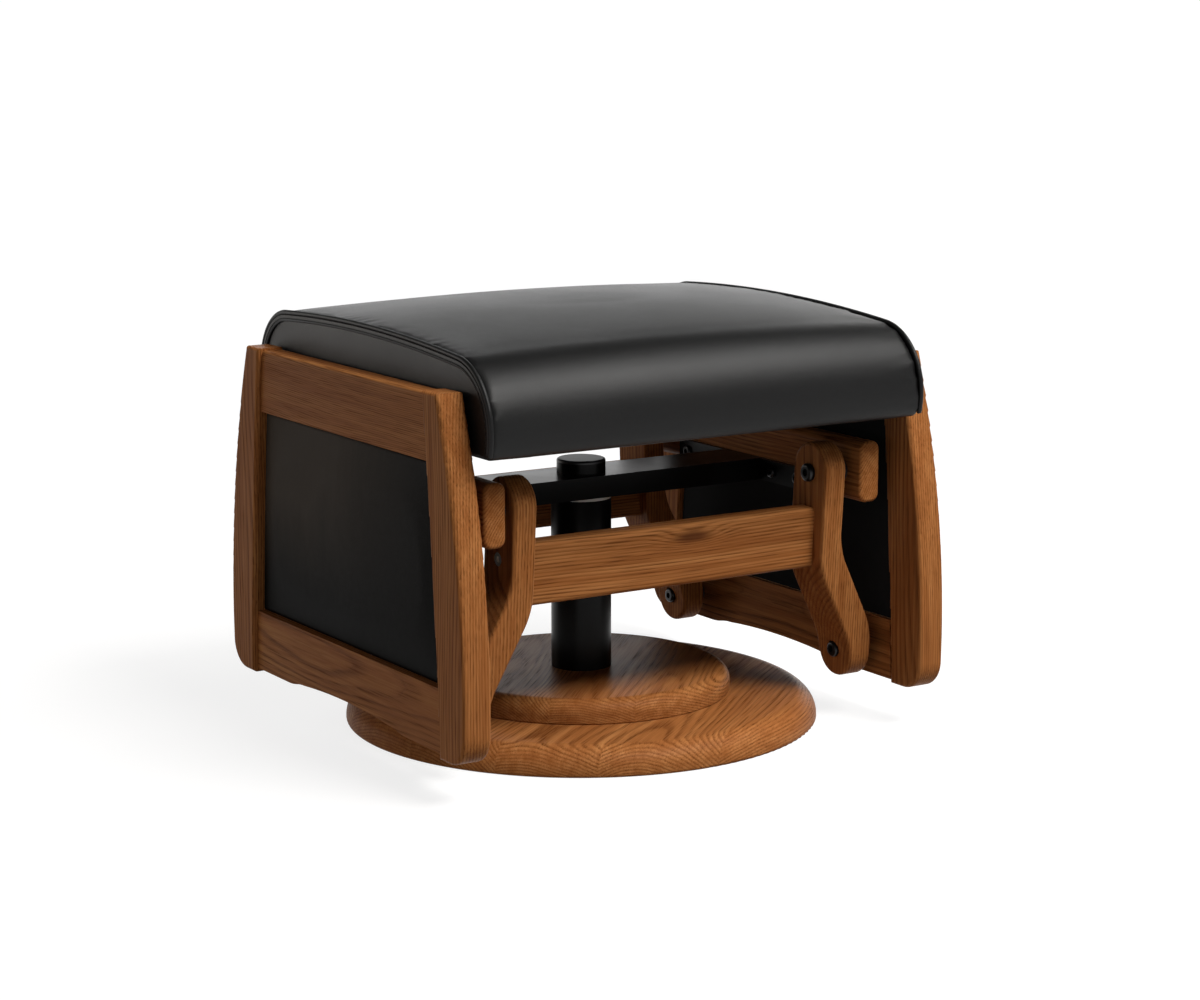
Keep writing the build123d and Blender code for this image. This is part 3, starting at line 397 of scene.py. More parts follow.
# ---------------------------------------------------------------- the wooden nodes
oak("base_disc", "X", (0.05, 0.055), 0.3, 0.0027, 0.54, angle=38, stave=0.088)
oak("base_riser_disc", "X", (0.045, 0.05), 5.1, 0.0023, 0.50, angle=46, stave=0.074)
for number, side in enumerate(SIDES):
    for place, end in enumerate(ENDS):
        seed = 11.0 + 3.7 * number + 1.9 * place
        leg_pith = (0.055 - 0.02 * place, 0.07 + 0.03 * number)
        link_pith = (0.03 + 0.03 * place, 0.075 - 0.02 * number)
        oak(f"{side}_{end}_leg", "Z", leg_pith, seed, 0.0025, 0.50)
        oak(f"{end}_link_{side}", "Z", link_pith, 20 + seed, 0.0029, 0.54)
    oak(f"{side}_top_rail", "Y", (0.035, 0.11), 41.0 + 2 * number, 0.0016, 0.46)
    oak(f"{side}_bottom_rail", "Y", (0.042, -0.012), 47.0 + 2 * number, 0.0030, 0.48)
    oak(f"glide_rail_{side}", "Y", (0.06, 0.05), 53.0 + 2 * number, 0.0024, 0.52)
oak("front_stretcher", "X", (0.05, 0.085), 61.0, 0.0031, 0.52, knot=(0.019, 0.0155))
oak("rear_stretcher", "X", (0.04, 0.09), 67.0, 0.0029, 0.52)
for end in ENDS:
    paint(f"{end}_link_bushings", PALE_NYLON)
    paint(f"{end}_stretcher_screws", ZINC)
for side in SIDES:
    paint(f"{side}_frame_dowels", BEECH)
    paint(f"{side}_panel_board", PLYWOOD)
    paint(f"rail_flange_{side}", BLACK_STEEL)
    paint(f"{side}_panel_pad", PANEL_LEATHER)
    paint(f"{side}_panel_lining", BLACK_CLOTH)
for node, material in {"base_plate": ZINC, "column_tube": BLACK_STEEL, "column_bolts": ZINC,
                       "riser_screws": ZINC, "upper_swivel_bushing": PALE_NYLON,
                       "lower_swivel_bushing": PALE_NYLON, "spindle_tube": BLACK_STEEL,
                       "spindle_retaining_ring": ZINC, "spindle_cap": BLACK_NYLON,
                       "crossbar": BLACK_STEEL, "flange_screws": FASTENER, "upper_pivot_bolts": FASTENER,
                       "upper_pivot_nuts": ZINC, "upper_pivot_spacers": BLACK_NYLON,
                       "seat_brackets": ZINC, "bracket_screws": ZINC, "seat_board": PLYWOOD,
                       "cushion_foam": FOAM, "cushion_cover": BLACK_LEATHER, "dust_cover": BLACK_CLOTH,
                       "lower_pivot_bolts": FASTENER, "lower_pivot_spacers": BLACK_NYLON,
                       "lower_pivot_inserts": ZINC}.items():
    paint(node, material)

# ---------------------------------------------------------------- soft goods
# Sizes and places in metres, in the frame's own axes.
CUSHION_LOW, CUSHION_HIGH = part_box("cushion_cover")
HALF_WIDTH = CUSHION_HIGH.x
FRONT_Y, REAR_Y = -CUSHION_LOW.y, CUSHION_HIGH.y
CUSHION_Z = CUSHION_LOW.z
FRONT_RADIUS, REAR_RADIUS = 0.060, 0.056
TOP_ARCH, CROWN = 0.0079, 0.011
FRONT_BELLY, REAR_BELLY = 0.022, 0.031
FOOT_DRAW, FOOT_ROUND = 0.0033, 0.005
WELT_RADIUS = 0.0022
SEAM_X = HALF_WIDTH - WELT_RADIUS + 0.0003
END_PULL = 0.035
END_MIDDLE_Z = CUSHION_Z + 0.040
END_MIDDLE_Y = (0.075 - FRONT_Y, REAR_Y - 0.065)
END_RINGS = 10
ACROSS = Vector((1, 0, 0))


def add_object(name, mesh, material):
    """A new mesh object in the scene with one material."""
    made = bpy.data.objects.new(name, mesh)
    bpy.context.scene.collection.objects.link(made)
    mesh.materials.clear()
    mesh.materials.append(material)
    return made


def mesh_from(name, points, faces):
    """A smooth-shaded mesh."""
    mesh = bpy.data.meshes.new(name)
    mesh.from_pydata([tuple(p) for p in points], [], faces)
    mesh.update()
    mesh.polygons.foreach_set("use_smooth", [True] * len(mesh.polygons))
    return mesh


def rework(mesh, change):
    """Run one change on a mesh as a bmesh."""
    work = bmesh.new()
    work.from_mesh(mesh)
    change(work)
    work.to_mesh(mesh)
    work.free()


def face_outward(work):
    bmesh.ops.recalc_face_normals(work, faces=work.faces)


def arc_points(centre, radius, start, end, step):
    """Points of an arc between two angles."""
    count = max(2, int(abs(end - start) * radius / step) + 1)
    return [(centre[0] + radius * math.cos(a), centre[1] + radius * math.sin(a))
            for a in np.linspace(start, end, count)]


def arc_between(start, direction, end, step):
    """Points of the arc that leaves start along direction and passes through end."""
    start, end, direction = Vector(start), Vector(end), Vector(direction).normalized()
    normal = Vector((-direction.y, direction.x))
    chord = end - start
    lean = normal.dot(chord)
    if abs(lean) < 1e-9:
        return [tuple(start.lerp(end, share)) for share in np.linspace(0, 1, 9)]
    radius = chord.length_squared / (2 * lean)
    centre = start + normal * radius
    first = math.atan2(start.y - centre.y, start.x - centre.x)
    last = math.atan2(end.y - centre.y, end.x - centre.x)
    turn = (last - first) % (2 * math.pi) if radius > 0 else -((first - last) % (2 * math.pi))
    count = max(2, int(abs(turn * radius) / step) + 1)
    return [(centre.x + abs(radius) * math.cos(a), centre.y + abs(radius) * math.sin(a))
            for a in np.linspace(first, first + turn, count)]


def resample(points, count, closed=True):
    """Evenly spaced points along a line."""
    points = np.array(points, float)
    if closed:
        points = np.vstack([points, points[:1]])
    steps = np.linalg.norm(np.diff(points, axis=0), axis=1)
    keep = np.r_[True, steps > 1e-7]
    points = points[keep]
    along = np.r_[0, np.cumsum(np.linalg.norm(np.diff(points, axis=0), axis=1))]
    spots = np.linspace(0, along[-1], count + 1)[:-1] if closed else np.linspace(0, along[-1], count)
    return np.stack([np.interp(spots, along, points[:, i]) for i in range(points.shape[1])], axis=1)


def cushion_line(crown=0.0, inset=0.0, low=None, step=0.002):
    """The cushion's outline from the side, (y, z), from the front foot over the top to the rear foot."""
    front_radius = FRONT_RADIUS + crown / 2 - inset
    rear_radius = REAR_RADIUS + crown / 2 - inset
    span = FRONT_Y + REAR_Y - 0.9 * (FRONT_RADIUS + REAR_RADIUS)
    sweep = math.pi / 2 - 2 * math.atan(2 * (TOP_ARCH + crown / 2) / span)
    front, rear = inset - FRONT_Y, REAR_Y - inset
    front_z, rear_z = CUSHION_Z + FRONT_BELLY, CUSHION_Z + REAR_BELLY
    low = CUSHION_Z + min(inset, 0.0008) if low is None else low
    turn = max(0.002, FOOT_ROUND - inset)
    lower_front = arc_between((front, front_z), (0, -1), (front + FOOT_DRAW, low), step)
    lower_rear = arc_between((rear, rear_z), (0, -1), (rear - FOOT_DRAW, low), step)
    line = [(front + FOOT_DRAW + turn, low)]
    line += arc_points((front + FOOT_DRAW + turn, low + turn), turn, -math.pi / 2, -math.pi, step)
    line += [p for p in lower_front[::-1] if p[1] > low + turn]
    line += arc_points((front + front_radius, front_z), front_radius, math.pi, math.pi - sweep, step)
    end = (rear - rear_radius + rear_radius * math.cos(sweep), rear_z + rear_radius * math.sin(sweep))
    heading = (math.sin(math.pi - sweep), -math.cos(math.pi - sweep))
    line += arc_between(line[-1], heading, end, step)
    line += arc_points((rear - rear_radius, rear_z), rear_radius, sweep, 0, step)
    line += [p for p in lower_rear if p[1] > low + turn]
    line += arc_points((rear - FOOT_DRAW - turn, low + turn), turn, 0, -math.pi / 2, step)
    return line


def cushion_mesh(name, inset, seam_inset, half=SEAM_X, low=None, columns=92, around=230):
    """A closed cushion: a wrap between the two end seams, and two end panels. It lies inset within
    the cushion's outline, and seam_inset within it at the seams."""
    points, faces = [], []
    for x in np.linspace(-half, half, columns):
        near = 1 - min(1.0, (half - abs(x)) / END_PULL)
        depth = inset + (seam_inset - inset) * near * near
        crown = CROWN * (1 - (x / HALF_WIDTH) ** 2)
        points += [(x, y, z) for y, z in resample(cushion_line(crown, depth, low), around)]
    for i in range(columns - 1):
        for j in range(around):
            k = (j + 1) % around
            faces.append((i * around + j, (i + 1) * around + j, (i + 1) * around + k, i * around + k))
    for end, first in ((-1, 0), (1, (columns - 1) * around)):
        rim = points[first:first + around]
        previous = list(range(first, first + around))
        for number in range(1, END_RINGS + 1):
            share = number / END_RINGS
            current = list(range(len(points), len(points) + around))
            for x, y, z in rim:
                middle_y = max(END_MIDDLE_Y[0], min(END_MIDDLE_Y[1], y))
                points.append((x, y + (middle_y - y) * share, z + (END_MIDDLE_Z - z) * share))
            for j in range(around):
                k = (j + 1) % around
                quad = (previous[j], previous[k], current[k], current[j])
                faces.append(quad if end > 0 else quad[::-1])
            previous = current

    def close(work):
        bmesh.ops.remove_doubles(work, verts=work.verts, dist=0.0002)
        bmesh.ops.holes_fill(work, edges=[e for e in work.edges if e.is_boundary])
        face_outward(work)

    mesh = mesh_from(name, points, faces)
    rework(mesh, close)
    return mesh


def coords_of(mesh):
    """A mesh's points as an array of rows."""
    spots = np.empty(len(mesh.vertices) * 3, np.float32)
    mesh.vertices.foreach_get("co", spots)
    return spots.reshape(-1, 3).astype(float)


def set_coords(mesh, spots):
    mesh.vertices.foreach_set("co", np.asarray(spots, np.float32).ravel())
    mesh.update()


def apply_modifiers(piece):
    """Bake a piece's modifiers into its mesh."""
    seen_mesh = bpy.data.meshes.new_from_object(piece.evaluated_get(bpy.context.evaluated_depsgraph_get()))
    old = piece.data
    piece.modifiers.clear()
    piece.data = seen_mesh
    bpy.data.meshes.remove(old)


def remesh(piece, size):
    """Give a closed piece even faces of one size."""
    voxels = piece.modifiers.new("remesh", "REMESH")
    voxels.mode = "VOXEL"
    voxels.voxel_size = size
    voxels.use_smooth_shade = True
    apply_modifiers(piece)


def inflate(piece, held, rise, cap, stiffness=20.0, bending=4.0, frames=20):
    """Blow a closed mesh up as cloth. held gives each point's share of being sewn down. The free
    points rise by about rise, and no point moves further than cap."""
    start = coords_of(piece.data)
    fast = held(start)
    group = piece.vertex_groups.new(name="held")
    for index, share in enumerate(fast):
        if share > 0.01:
            group.add([index], float(share), "REPLACE")
    cloth_modifier = piece.modifiers.new("cloth", "CLOTH")
    settings = cloth_modifier.settings
    settings.quality = 6
    settings.mass = 0.25
    settings.tension_stiffness = settings.compression_stiffness = stiffness
    settings.shear_stiffness = stiffness / 2
    settings.bending_stiffness = bending
    settings.use_pressure = True
    settings.uniform_pressure_force = 4.0
    settings.vertex_group_mass = "held"
    settings.effector_weights.gravity = 0.0
    cloth_modifier.collision_settings.use_collision = False
    cloth_modifier.point_cache.frame_start = 1
    cloth_modifier.point_cache.frame_end = frames
    for number in range(1, frames + 1):
        bpy.context.scene.frame_set(number)
    apply_modifiers(piece)
    bpy.context.scene.frame_set(1)
    moved = coords_of(piece.data) - start
    far = np.linalg.norm(moved, axis=1, keepdims=True)
    growth = rise / max(float(np.median(far[fast < 0.01])), 1e-6)
    moved *= growth
    moved *= np.minimum(1.0, cap / np.maximum(far * growth, 1e-9))
    set_coords(piece.data, start + moved)


def subdivide(piece):
    finer = piece.modifiers.new("finer", "SUBSURF")
    finer.levels = finer.render_levels = 1
    apply_modifiers(piece)
    piece.data.polygons.foreach_set("use_smooth", [True] * len(piece.data.polygons))


def ease(mesh, rounds):
    """Smooth a mesh a little."""
    def relax(work):
        for _ in range(rounds):
            bmesh.ops.smooth_vert(work, verts=work.verts, factor=0.5, use_axis_x=True, use_axis_y=True,
                                  use_axis_z=True)

    rework(mesh, relax)


def ring(spot, along, radius, sides):
    """A circle of points round a spot, square to a direction."""
    side = (ACROSS - along * ACROSS.dot(along)).normalized()
    other = along.cross(side)
    angles = [2 * math.pi * j / sides for j in range(sides)]
    return [spot + side * (radius * math.cos(a)) + other * (radius * math.sin(a)) for a in angles]


def skin(first, count, sides):
    """The faces of a capped cord: count rings of points that follow each other from first on."""
    faces = []
    last = first + (count - 1) * sides
    for i in range(first, last, sides):
        for j in range(sides):
            k = (j + 1) % sides
            faces.append((i + j, i + k, i + sides + k, i + sides + j))
    return faces + [tuple(range(first, first + sides))[::-1], tuple(range(last, last + sides))]


def tube(name, line, radius, material, sides):
    """A round cord along a line of points."""
    line = [Vector(p) for p in line]
    points = []
    for i, spot in enumerate(line):
        along = (line[min(i + 1, len(line) - 1)] - line[max(i - 1, 0)]).normalized()
        points += ring(spot, along, radius, sides)
    return add_object(name, mesh_from(name, points, skin(0, len(line), sides)), material)


# The cushion's leather is held near a seam, under its fold, and at the ends beside the rails.
SEAM_HOLD, END_HOLD, HOLD_FADE = 0.0075, 0.004, 0.004
FOLD_Z, RAIL_HOLD_Z = CUSHION_Z + 0.007, 0.352
SEAM_LINE_COUNT = 400
BATCH = 4000


def near_seam(spots):
    """How firmly each cushion point is sewn down."""
    line = np.array(resample(cushion_line(), SEAM_LINE_COUNT, closed=False))
    seam = np.zeros(len(spots))
    for start in range(0, len(spots), BATCH):
        part = spots[start:start + BATCH]
        gap = np.linalg.norm(part[:, None, 1:] - line[None], axis=2).min(1)
        far = np.hypot(gap, np.abs(np.abs(part[:, 0]) - SEAM_X))
        seam[start:start + BATCH] = np.clip((SEAM_HOLD - far) / HOLD_FADE, 0, 1)
    under = np.clip((FOLD_Z - spots[:, 2]) / HOLD_FADE, 0, 1)
    ends = np.clip((np.abs(spots[:, 0]) - SEAM_X + END_HOLD) / 0.003, 0, 1)
    beside = ends * np.clip((RAIL_HOLD_Z - spots[:, 2]) / HOLD_FADE, 0, 1)
    return np.maximum(np.maximum(seam, under), beside)


PUCKER_DEPTH = 0.00018
PUCKER_GAP, PUCKER_WIDTH = 0.010, 0.009


def pucker(mesh):
    """Small gathers where the wrap meets the end seams."""
    spots = coords_of(mesh)
    gap = SEAM_X - np.abs(spots[:, 0])
    on_top = spots[:, 2] > CUSHION_Z + 0.06
    along = np.where(on_top, spots[:, 1], spots[:, 2] * np.sign(spots[:, 1]))
    end = np.sign(spots[:, 0])
    wave = np.sin(along * 330 + 4 * np.sin(along * 41 + 1.3 * end))
    wave += 0.5 * np.sin(along * 187 + 2.1 * end + 3 * np.sin(along * 29))
    size = PUCKER_DEPTH * np.exp(-((gap - PUCKER_GAP) / PUCKER_WIDTH) ** 2)
    size *= spots[:, 2] > CUSHION_Z + 0.012
    out = spots - np.array([0.0, 0.0, CUSHION_Z + 0.03])
    out[:, 0] = 0
    out /= np.maximum(np.linalg.norm(out, axis=1, keepdims=True), 1e-9)
    set_coords(mesh, spots + out * (wave * size)[:, None])


def settle(piece, guide, reach, below=None):
    """Draw the blown-up leather softly on to its pattern, so that no hollow or bulge is over reach.
    With below, only the points under that height are drawn on to it, and all the way."""
    tree = BVHTree.FromPolygons([v.co for v in guide.vertices], [tuple(p.vertices) for p in guide.polygons])
    spots = coords_of(piece.data)
    for index, spot in enumerate(spots):
        if below and spot[2] > below:
            continue
        place, normal, _, _ = tree.find_nearest(Vector(spot))
        above = (Vector(spot) - place).dot(normal)
        share = min(1.0, (below - spot[2]) / 0.012) if below else 1.0
        there = place + normal * (0.0 if below else reach * math.tanh(above / (2.5 * reach)))
        spots[index] = Vector(spot).lerp(there, share)
    set_coords(piece.data, spots)


TUCK_LOW_X, TUCK_HIGH_X = 0.2252, 0.2272
TUCK_Z, TUCK_FADE = 0.343, 0.012


def tucked(piece):
    """Keep the ends of the cushion clear of the frames: lower down they lie beside the rails."""
    spots = coords_of(piece.data)
    share = np.clip((spots[:, 2] - TUCK_Z) / TUCK_FADE, 0, 1)
    limit = TUCK_LOW_X + (TUCK_HIGH_X - TUCK_LOW_X) * share
    spots[:, 0] = np.clip(spots[:, 0], -limit, limit)
    spots[:, 2] = np.maximum(spots[:, 2], CUSHION_Z + 0.0002)
    set_coords(piece.data, spots)


def soft_piece(piece, fill, slot, *replaced):
    """Carry a soft piece with the seat, in place of the nodes that it replaces. slot is not used."""
    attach(piece, "seat")
    if replaced:
        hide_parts(*replaced)


FILLING_INSET = 0.012
filling = add_object("cushion_filling", cushion_mesh(
    "cushion_filling", FILLING_INSET, FILLING_INSET, HALF_WIDTH - 0.010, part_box("seat_board")[1].z,
    columns=40, around=160), FOAM)
soft_piece(filling, 0.9, "foam", "cushion_foam")

# The leather starts inside its pattern, is blown up to it and is then drawn on to it.
LEATHER_INSET, LEATHER_SEAM_INSET = 0.0062, 0.0012
LEATHER_RISE, LEATHER_CAP = 0.0060, 0.0085
PATTERN_SEAM_INSET = 0.0002
DRAWN_FLAT_Z = CUSHION_Z + 0.030
cushion = add_object("cushion_leather", cushion_mesh("cushion_leather", LEATHER_INSET, LEATHER_SEAM_INSET),
                     BLACK_LEATHER)
remesh(cushion, 0.005)
ease(cushion.data, 2)
inflate(cushion, near_seam, LEATHER_RISE, LEATHER_CAP)
pattern = cushion_mesh("cushion_pattern", 0.0, PATTERN_SEAM_INSET)
settle(cushion, pattern, 0.0008)
ease(cushion.data, 4)
settle(cushion, pattern, 0.0006)
subdivide(cushion)
settle(cushion, pattern, 0.0, below=DRAWN_FLAT_Z)
bpy.data.meshes.remove(pattern)
pucker(cushion.data)
tucked(cushion)
soft_piece(cushion, 0.75, "black_leather", "cushion_cover")


def seam_line(inset, count):
    """The outline of the cushion's ends, from foot to foot."""
    line = [spot for spot in cushion_line(inset=inset) if spot[1] > CUSHION_Z + 0.0035]
    return resample(line, count, closed=False)


WELT_INSET, SEAM_COUNT = 0.0010, 420
for side, sign in SIDES.items():
    line = [(sign * SEAM_X, y, z) for y, z in seam_line(WELT_INSET, SEAM_COUNT)]
    welt = tube(f"cushion_welt_{side}", line, WELT_RADIUS, BLACK_LEATHER, sides=12)
    soft_piece(welt, None, "black_leather")


BAND_COUNT = 360
BAND_X = SEAM_X + 0.0008
BAND_START, BAND_END, BAND_LIFT, BAND_SINK = 0.0030, 0.0092, 0.0011, -0.0012
BAND_PROFILE = ((BAND_START, BAND_SINK), (BAND_START, BAND_LIFT * 0.7), (BAND_START + 0.0008, BAND_LIFT),
                (BAND_END - 0.0009, BAND_LIFT), (BAND_END - 0.0002, BAND_LIFT * 0.6),
                (BAND_END + 0.0003, BAND_SINK))


def band(name, sign, material):
    """The sewn-down edge beside the welt: a low raised strip between two insets of the outline."""
    rows = [seam_line(inset, BAND_COUNT) for inset, _ in BAND_PROFILE]
    points = [(sign * (BAND_X + height), *row[j]) for j in range(BAND_COUNT)
              for (_, height), row in zip(BAND_PROFILE, rows)]
    mesh = mesh_from(name, points, skin(0, BAND_COUNT, len(BAND_PROFILE)))
    rework(mesh, face_outward)
    return add_object(name, mesh, material)


STITCH_X, STITCH_INSET = SEAM_X + 0.0019, 0.0066
STITCH_PITCH, STITCH_RADIUS, STITCH_SIDES = 0.0042, 0.00035, 6
STITCH_SHAPE = ((0.10, -1.0), (0.22, 0.1), (0.50, 0.45), (0.78, 0.1), (0.90, -1.0))


def stitches(name, line, material):
    """Short thread stitches along a line of points. The shape gives places along one stitch and how
    far the thread stands out there, in radii."""
    line = np.array(line)
    along = np.r_[0, np.cumsum(np.linalg.norm(np.diff(line, axis=0), axis=1))]
    points, faces = [], []
    for number in range(int(along[-1] / STITCH_PITCH)):
        spots = []
        for share, lift in STITCH_SHAPE:
            place = (number + share) * STITCH_PITCH
            spot = Vector([np.interp(place, along, line[:, axis]) for axis in range(3)])
            spot.x += math.copysign(STITCH_RADIUS * lift, spot.x)
            spots.append(spot)
        run = (spots[-1] - spots[0]).normalized()
        faces += skin(len(points), len(spots), STITCH_SIDES)
        for spot in spots:
            points += ring(spot, run, STITCH_RADIUS, STITCH_SIDES)
    return add_object(name, mesh_from(name, points, faces), material)


THREAD = cloth("black_thread", (0.012, 0.012, 0.012), 2500.0, 0.6)
for side, sign in SIDES.items():
    soft_piece(band(f"cushion_band_{side}", sign, BLACK_LEATHER), None, "black_leather")
    line = [(sign * STITCH_X, y, z) for y, z in seam_line(STITCH_INSET, SEAM_COUNT)]
    soft_piece(stitches(f"cushion_stitches_{side}", line, THREAD), None, "black_cloth")


# The side frames: half the opening at the legs' feet and heads, and how the panels fill it.
LEG_LOW, LEG_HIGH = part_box("left_front_leg")
OPENING_LOW, OPENING_HIGH, LEG_BOW, PANEL_FIT = 0.1775, 0.1530, 0.0025, 0.0006
PANEL_GAP, PANEL_ROUND, PANEL_SWELL = 0.0003, 0.0040, 0.0012
PAD_BACK, PAD_FACE, PAD_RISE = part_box("right_panel_pad")[0].x, 0.2435, 0.0024


def frame_opening(z):
    """Half the depth of the opening between the legs at a height."""
    share = (z - LEG_LOW.z) / (LEG_HIGH.z - LEG_LOW.z)
    bow = 4 * LEG_BOW * share * (1 - share)
    return OPENING_LOW + (OPENING_HIGH - OPENING_LOW) * share + bow - PANEL_FIT


def panel_mesh(name, side, across=78, up=44):
    """A slab that fills a side frame's opening, flat at the back and tucked in at its edges. Its
    rows lie closer together towards the edges."""
    sign = SIDES[side]
    low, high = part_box(f"{side}_panel_pad")
    low_z, high_z = low.z + PANEL_GAP, high.z - PANEL_GAP
    points, faces = [], []

    def add_face(*corners):
        faces.append(corners if sign > 0 else corners[::-1])

    for j in range(up + 1):
        z = low_z + (high_z - low_z) * (0.5 - 0.5 * math.cos(math.pi * j / up))
        half = frame_opening(z)
        for i in range(across + 1):
            y = -half * math.cos(math.pi * i / across)
            edge = min(half - abs(y), z - low_z, high_z - z)
            round_in = math.sqrt(1 - (1 - min(1.0, edge / PANEL_ROUND)) ** 2)
            level = (2 * z - low_z - high_z) / (high_z - low_z)
            crown = PANEL_SWELL * (max(0.0, 1 - (y / half) ** 2) * max(0.0, 1 - level ** 2)) ** 0.6
            x = PAD_BACK + (PAD_FACE - PAD_BACK) * (0.25 + 0.75 * round_in) + crown
            points.append((sign * x, y, z))
    wide = across + 1
    for j in range(up):
        for i in range(across):
            add_face(j * wide + i, j * wide + i + 1, (j + 1) * wide + i + 1, (j + 1) * wide + i)
    rim = list(range(wide)) + [j * wide + across for j in range(1, up + 1)]
    rim += [up * wide + i for i in range(across - 1, -1, -1)] + [j * wide for j in range(up - 1, 0, -1)]
    first = len(points)
    points += [(sign * PAD_BACK, points[i][1], points[i][2]) for i in rim]
    for n, i in enumerate(rim):
        m = (n + 1) % len(rim)
        add_face(rim[m], i, first + n, first + m)
    add_face(*range(first + len(rim) - 1, first - 1, -1))
    return mesh_from(name, points, faces)


def pad_held(spots):
    """A pad is glued down at its back and along its edges."""
    low_z, high_z = spots[:, 2].min(), spots[:, 2].max()
    half = np.array([frame_opening(z) for z in spots[:, 2]])
    edge = np.minimum(half - np.abs(spots[:, 1]), np.minimum(spots[:, 2] - low_z, high_z - spots[:, 2]))
    depth = np.abs(spots[:, 0])
    back = depth - depth.min() < 0.0008
    return np.where(back, 1.0, np.clip((0.0055 - edge) / 0.0025, 0, 1))


for side in SIDES:
    pad = add_object(f"{side}_pad_leather", panel_mesh(f"{side}_pad_leather", side), PANEL_LEATHER)
    inflate(pad, pad_held, rise=PAD_RISE * 0.7, cap=PAD_RISE, stiffness=10.0, bending=0.3, frames=14)
    soft_piece(pad, 0.8, "black_leather", f"{side}_panel_pad")


def stretched_sheet(name, place, columns, rows, ripple, seed):
    """A slightly rippled cloth sheet. place gives a point and its normal from two shares."""
    points, faces = [], []
    for j in range(rows + 1):
        for i in range(columns + 1):
            u, v = i / columns, j / rows
            spot, normal = place(u, v)
            soft = math.sin(math.pi * u) * math.sin(math.pi * v)
            wave = math.sin(7 * u + 5 * v + seed) * math.sin(4 * v - 3 * u + 2 * seed)
            points.append(Vector(spot) + Vector(normal) * (ripple * soft * (0.5 + 0.5 * wave)))
    wide = columns + 1
    for j in range(rows):
        for i in range(columns):
            faces.append((j * wide + i, j * wide + i + 1, (j + 1) * wide + i + 1, (j + 1) * wide + i))
    return add_object(name, mesh_from(name, points, faces), BLACK_CLOTH)


LINING_MARGIN, LINING_GAP, LINING_RIPPLE = 0.0005, 0.0008, 0.0005
for side, sign in SIDES.items():
    low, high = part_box(f"{side}_panel_lining")
    low_z, height = low.z + LINING_MARGIN, high.z - low.z - 2 * LINING_MARGIN
    inner = sign * (min(abs(low.x), abs(high.x)) + LINING_GAP)

    def lining_place(u, v, x=inner, sign=sign, low_z=low_z, height=height):
        z = low_z + height * v
        return (x, (2 * u - 1) * frame_opening(z), z), (-sign, 0, 0)

    lining = stretched_sheet(f"{side}_lining_cloth", lining_place, 40, 24, LINING_RIPPLE, 1.0 + sign)
    soft_piece(lining, None, "black_cloth", f"{side}_panel_lining")


DUST_LOW, DUST_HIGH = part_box("dust_cover")
DUST_SIZE = (DUST_HIGH.x - DUST_LOW.x, DUST_HIGH.y - DUST_LOW.y)


def dust_place(u, v):
    return (DUST_LOW.x + DUST_SIZE[0] * u, DUST_LOW.y + DUST_SIZE[1] * v, DUST_HIGH.z - 0.0002), (0, 0, -1)


dust = stretched_sheet("dust_cloth", dust_place, 60, 56, ripple=0.0008, seed=0.4)
soft_piece(dust, None, "black_cloth", "dust_cover")

# ---------------------------------------------------------------- floor, lights and camera
# The floor shines white for the camera and in reflections only. Near the piece it takes a shadow too.
FLOOR_HALF = 300
FLOOR_NEAR, FLOOR_FAR = 0.5, 2.2
floor_material, floor_tree, floor_shader, floor_coords = new_material(
    "floor_pale", **{"Roughness": 0.8, "Specular IOR Level": 0.1, "Emission Color": (1, 1, 1, 1)})
seen = floor_tree.node("ShaderNodeLightPath").outputs
mirrored = floor_tree.math("MAXIMUM", seen["Is Glossy Ray"], seen["Is Transmission Ray"])
shown = floor_tree.math("MAXIMUM", seen["Is Camera Ray"], mirrored)
reach = floor_tree.node("ShaderNodeVectorMath", {0: floor_coords}, operation="LENGTH").outputs["Value"]
far = floor_tree.fade(reach, FLOOR_NEAR, FLOOR_FAR)
join(floor_tree, floor_shader,
     Base_Color=floor_tree.blend(far, (0.23, 0.23, 0.23, 1), (0.0, 0.0, 0.0, 1)),
     Emission_Strength=floor_tree.math("MULTIPLY", shown, floor_tree.math("MULTIPLY_ADD", far, 0.2, 0.80)))
floor = add_object("floor", mesh_from("floor", [(-FLOOR_HALF, -FLOOR_HALF, 0), (FLOOR_HALF, -FLOOR_HALF, 0),
                                                (FLOOR_HALF, FLOOR_HALF, 0), (-FLOOR_HALF, FLOOR_HALF, 0)],
                                      [(0, 1, 2, 3)]), floor_material)

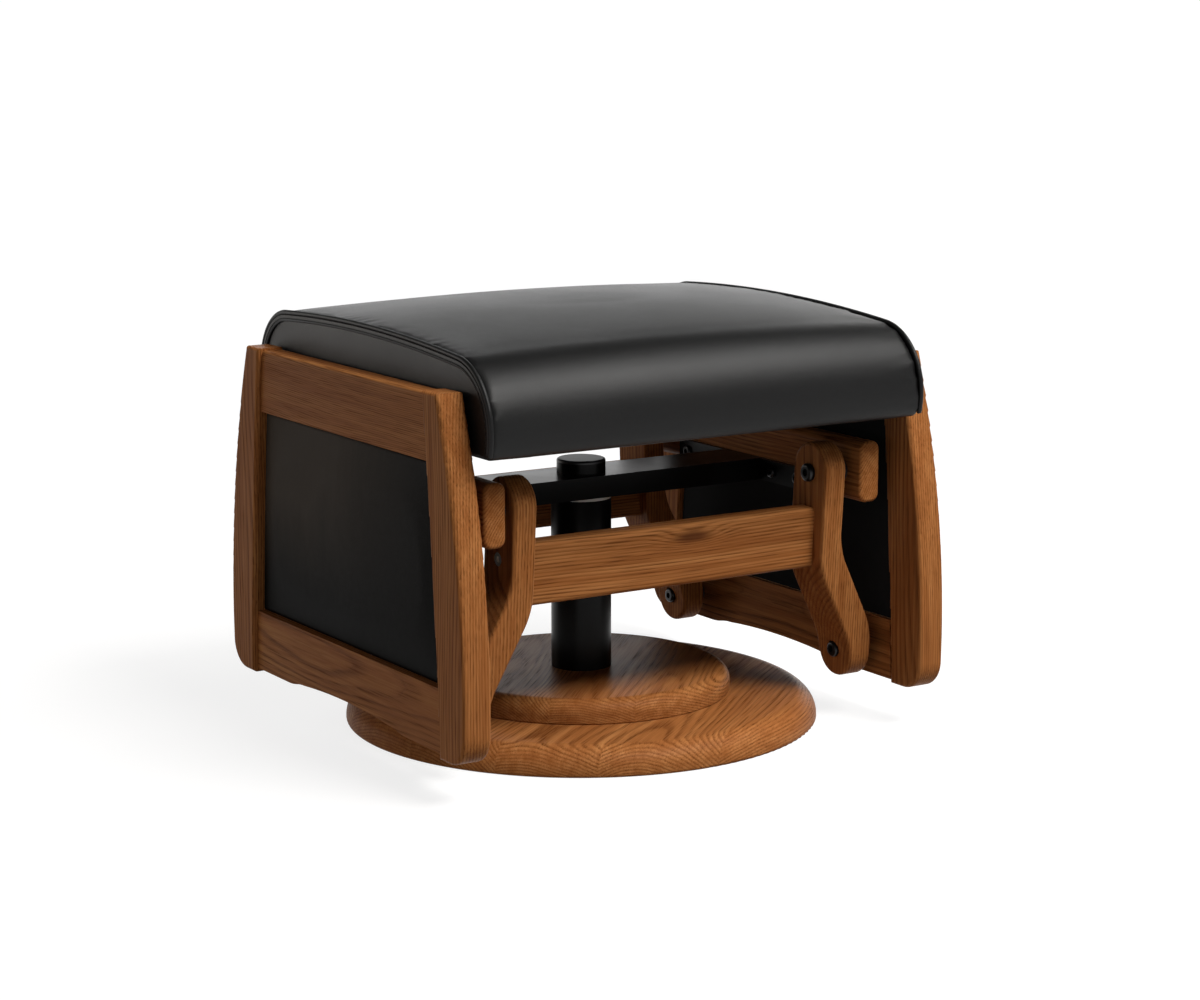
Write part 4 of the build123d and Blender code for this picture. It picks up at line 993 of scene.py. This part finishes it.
world = bpy.data.worlds.new("studio")
bpy.context.scene.world = world
world.use_nodes = True
sky = Tree(world.node_tree)
sky.tree.nodes.clear()
toward_top = sky.split(sky.node("ShaderNodeTexCoord").outputs["Generated"])[2]
brightness = sky.ramp(toward_top, ((0.0, 1.0), (0.05, 1.0), (0.12, 0.70), (0.24, 0.28), (0.42, 0.10),
                                   (1.0, 0.06)))
background = sky.node("ShaderNodeBackground", {"Color": brightness, "Strength": 1.0})
sky.node("ShaderNodeOutputWorld", {"Surface": background.outputs[0]})


def lamp(name, place, target, size, power, tint=(1, 1, 1)):
    """A soft rectangular lamp that looks at a point."""
    light = bpy.data.lights.new(name, "AREA")
    light.shape = "RECTANGLE"
    light.size, light.size_y = size
    light.energy = power
    light.color = tint
    made = bpy.data.objects.new(name, light)
    bpy.context.scene.collection.objects.link(made)
    made.location = place
    made.rotation_euler = (Vector(target) - Vector(place)).to_track_quat("-Z", "Y").to_euler()


lamp("key", (0.55, -1.95, 2.75), (0, 0, 0.2), (1.2, 1.2), 114, (1.0, 0.98, 0.95))
lamp("softbox", (1.45, -0.85, 2.3), (0, 0, 0.25), (1.3, 1.1), 40, (1.0, 0.99, 0.97))
lamp("fill", (-2.8, -0.5, 1.3), (0, 0, 0.2), (1.4, 1.6), 4, (1.0, 0.86, 0.72))
lamp("card", (1.75, 2.75, 0.95), (0, 0, 0.4), (2.8, 1.5), 18)
lamp("rim", (2.4, 1.6, 0.75), (0, 0, 0.15), (0.9, 0.8), 12, (1.0, 0.97, 0.93))
lamp("low_left", (-1.4, 1.85, 0.5), (-0.2, 0.1, 0.25), (0.7, 0.5), 4, (1.0, 0.88, 0.76))

camera_data = bpy.data.cameras.new("camera")
camera_data.lens = 84.35
camera_data.sensor_width = 36
camera_data.sensor_fit = "HORIZONTAL"
camera_data.clip_end = 900
camera = bpy.data.objects.new("camera", camera_data)
bpy.context.scene.collection.objects.link(camera)
camera.location = (-1.36103, -2.16662, 0.68720)
camera.rotation_euler = (math.radians(79.286), 0, math.radians(-32.529))
bpy.context.scene.camera = camera

bpy.context.scene.view_settings.view_transform = "Standard"
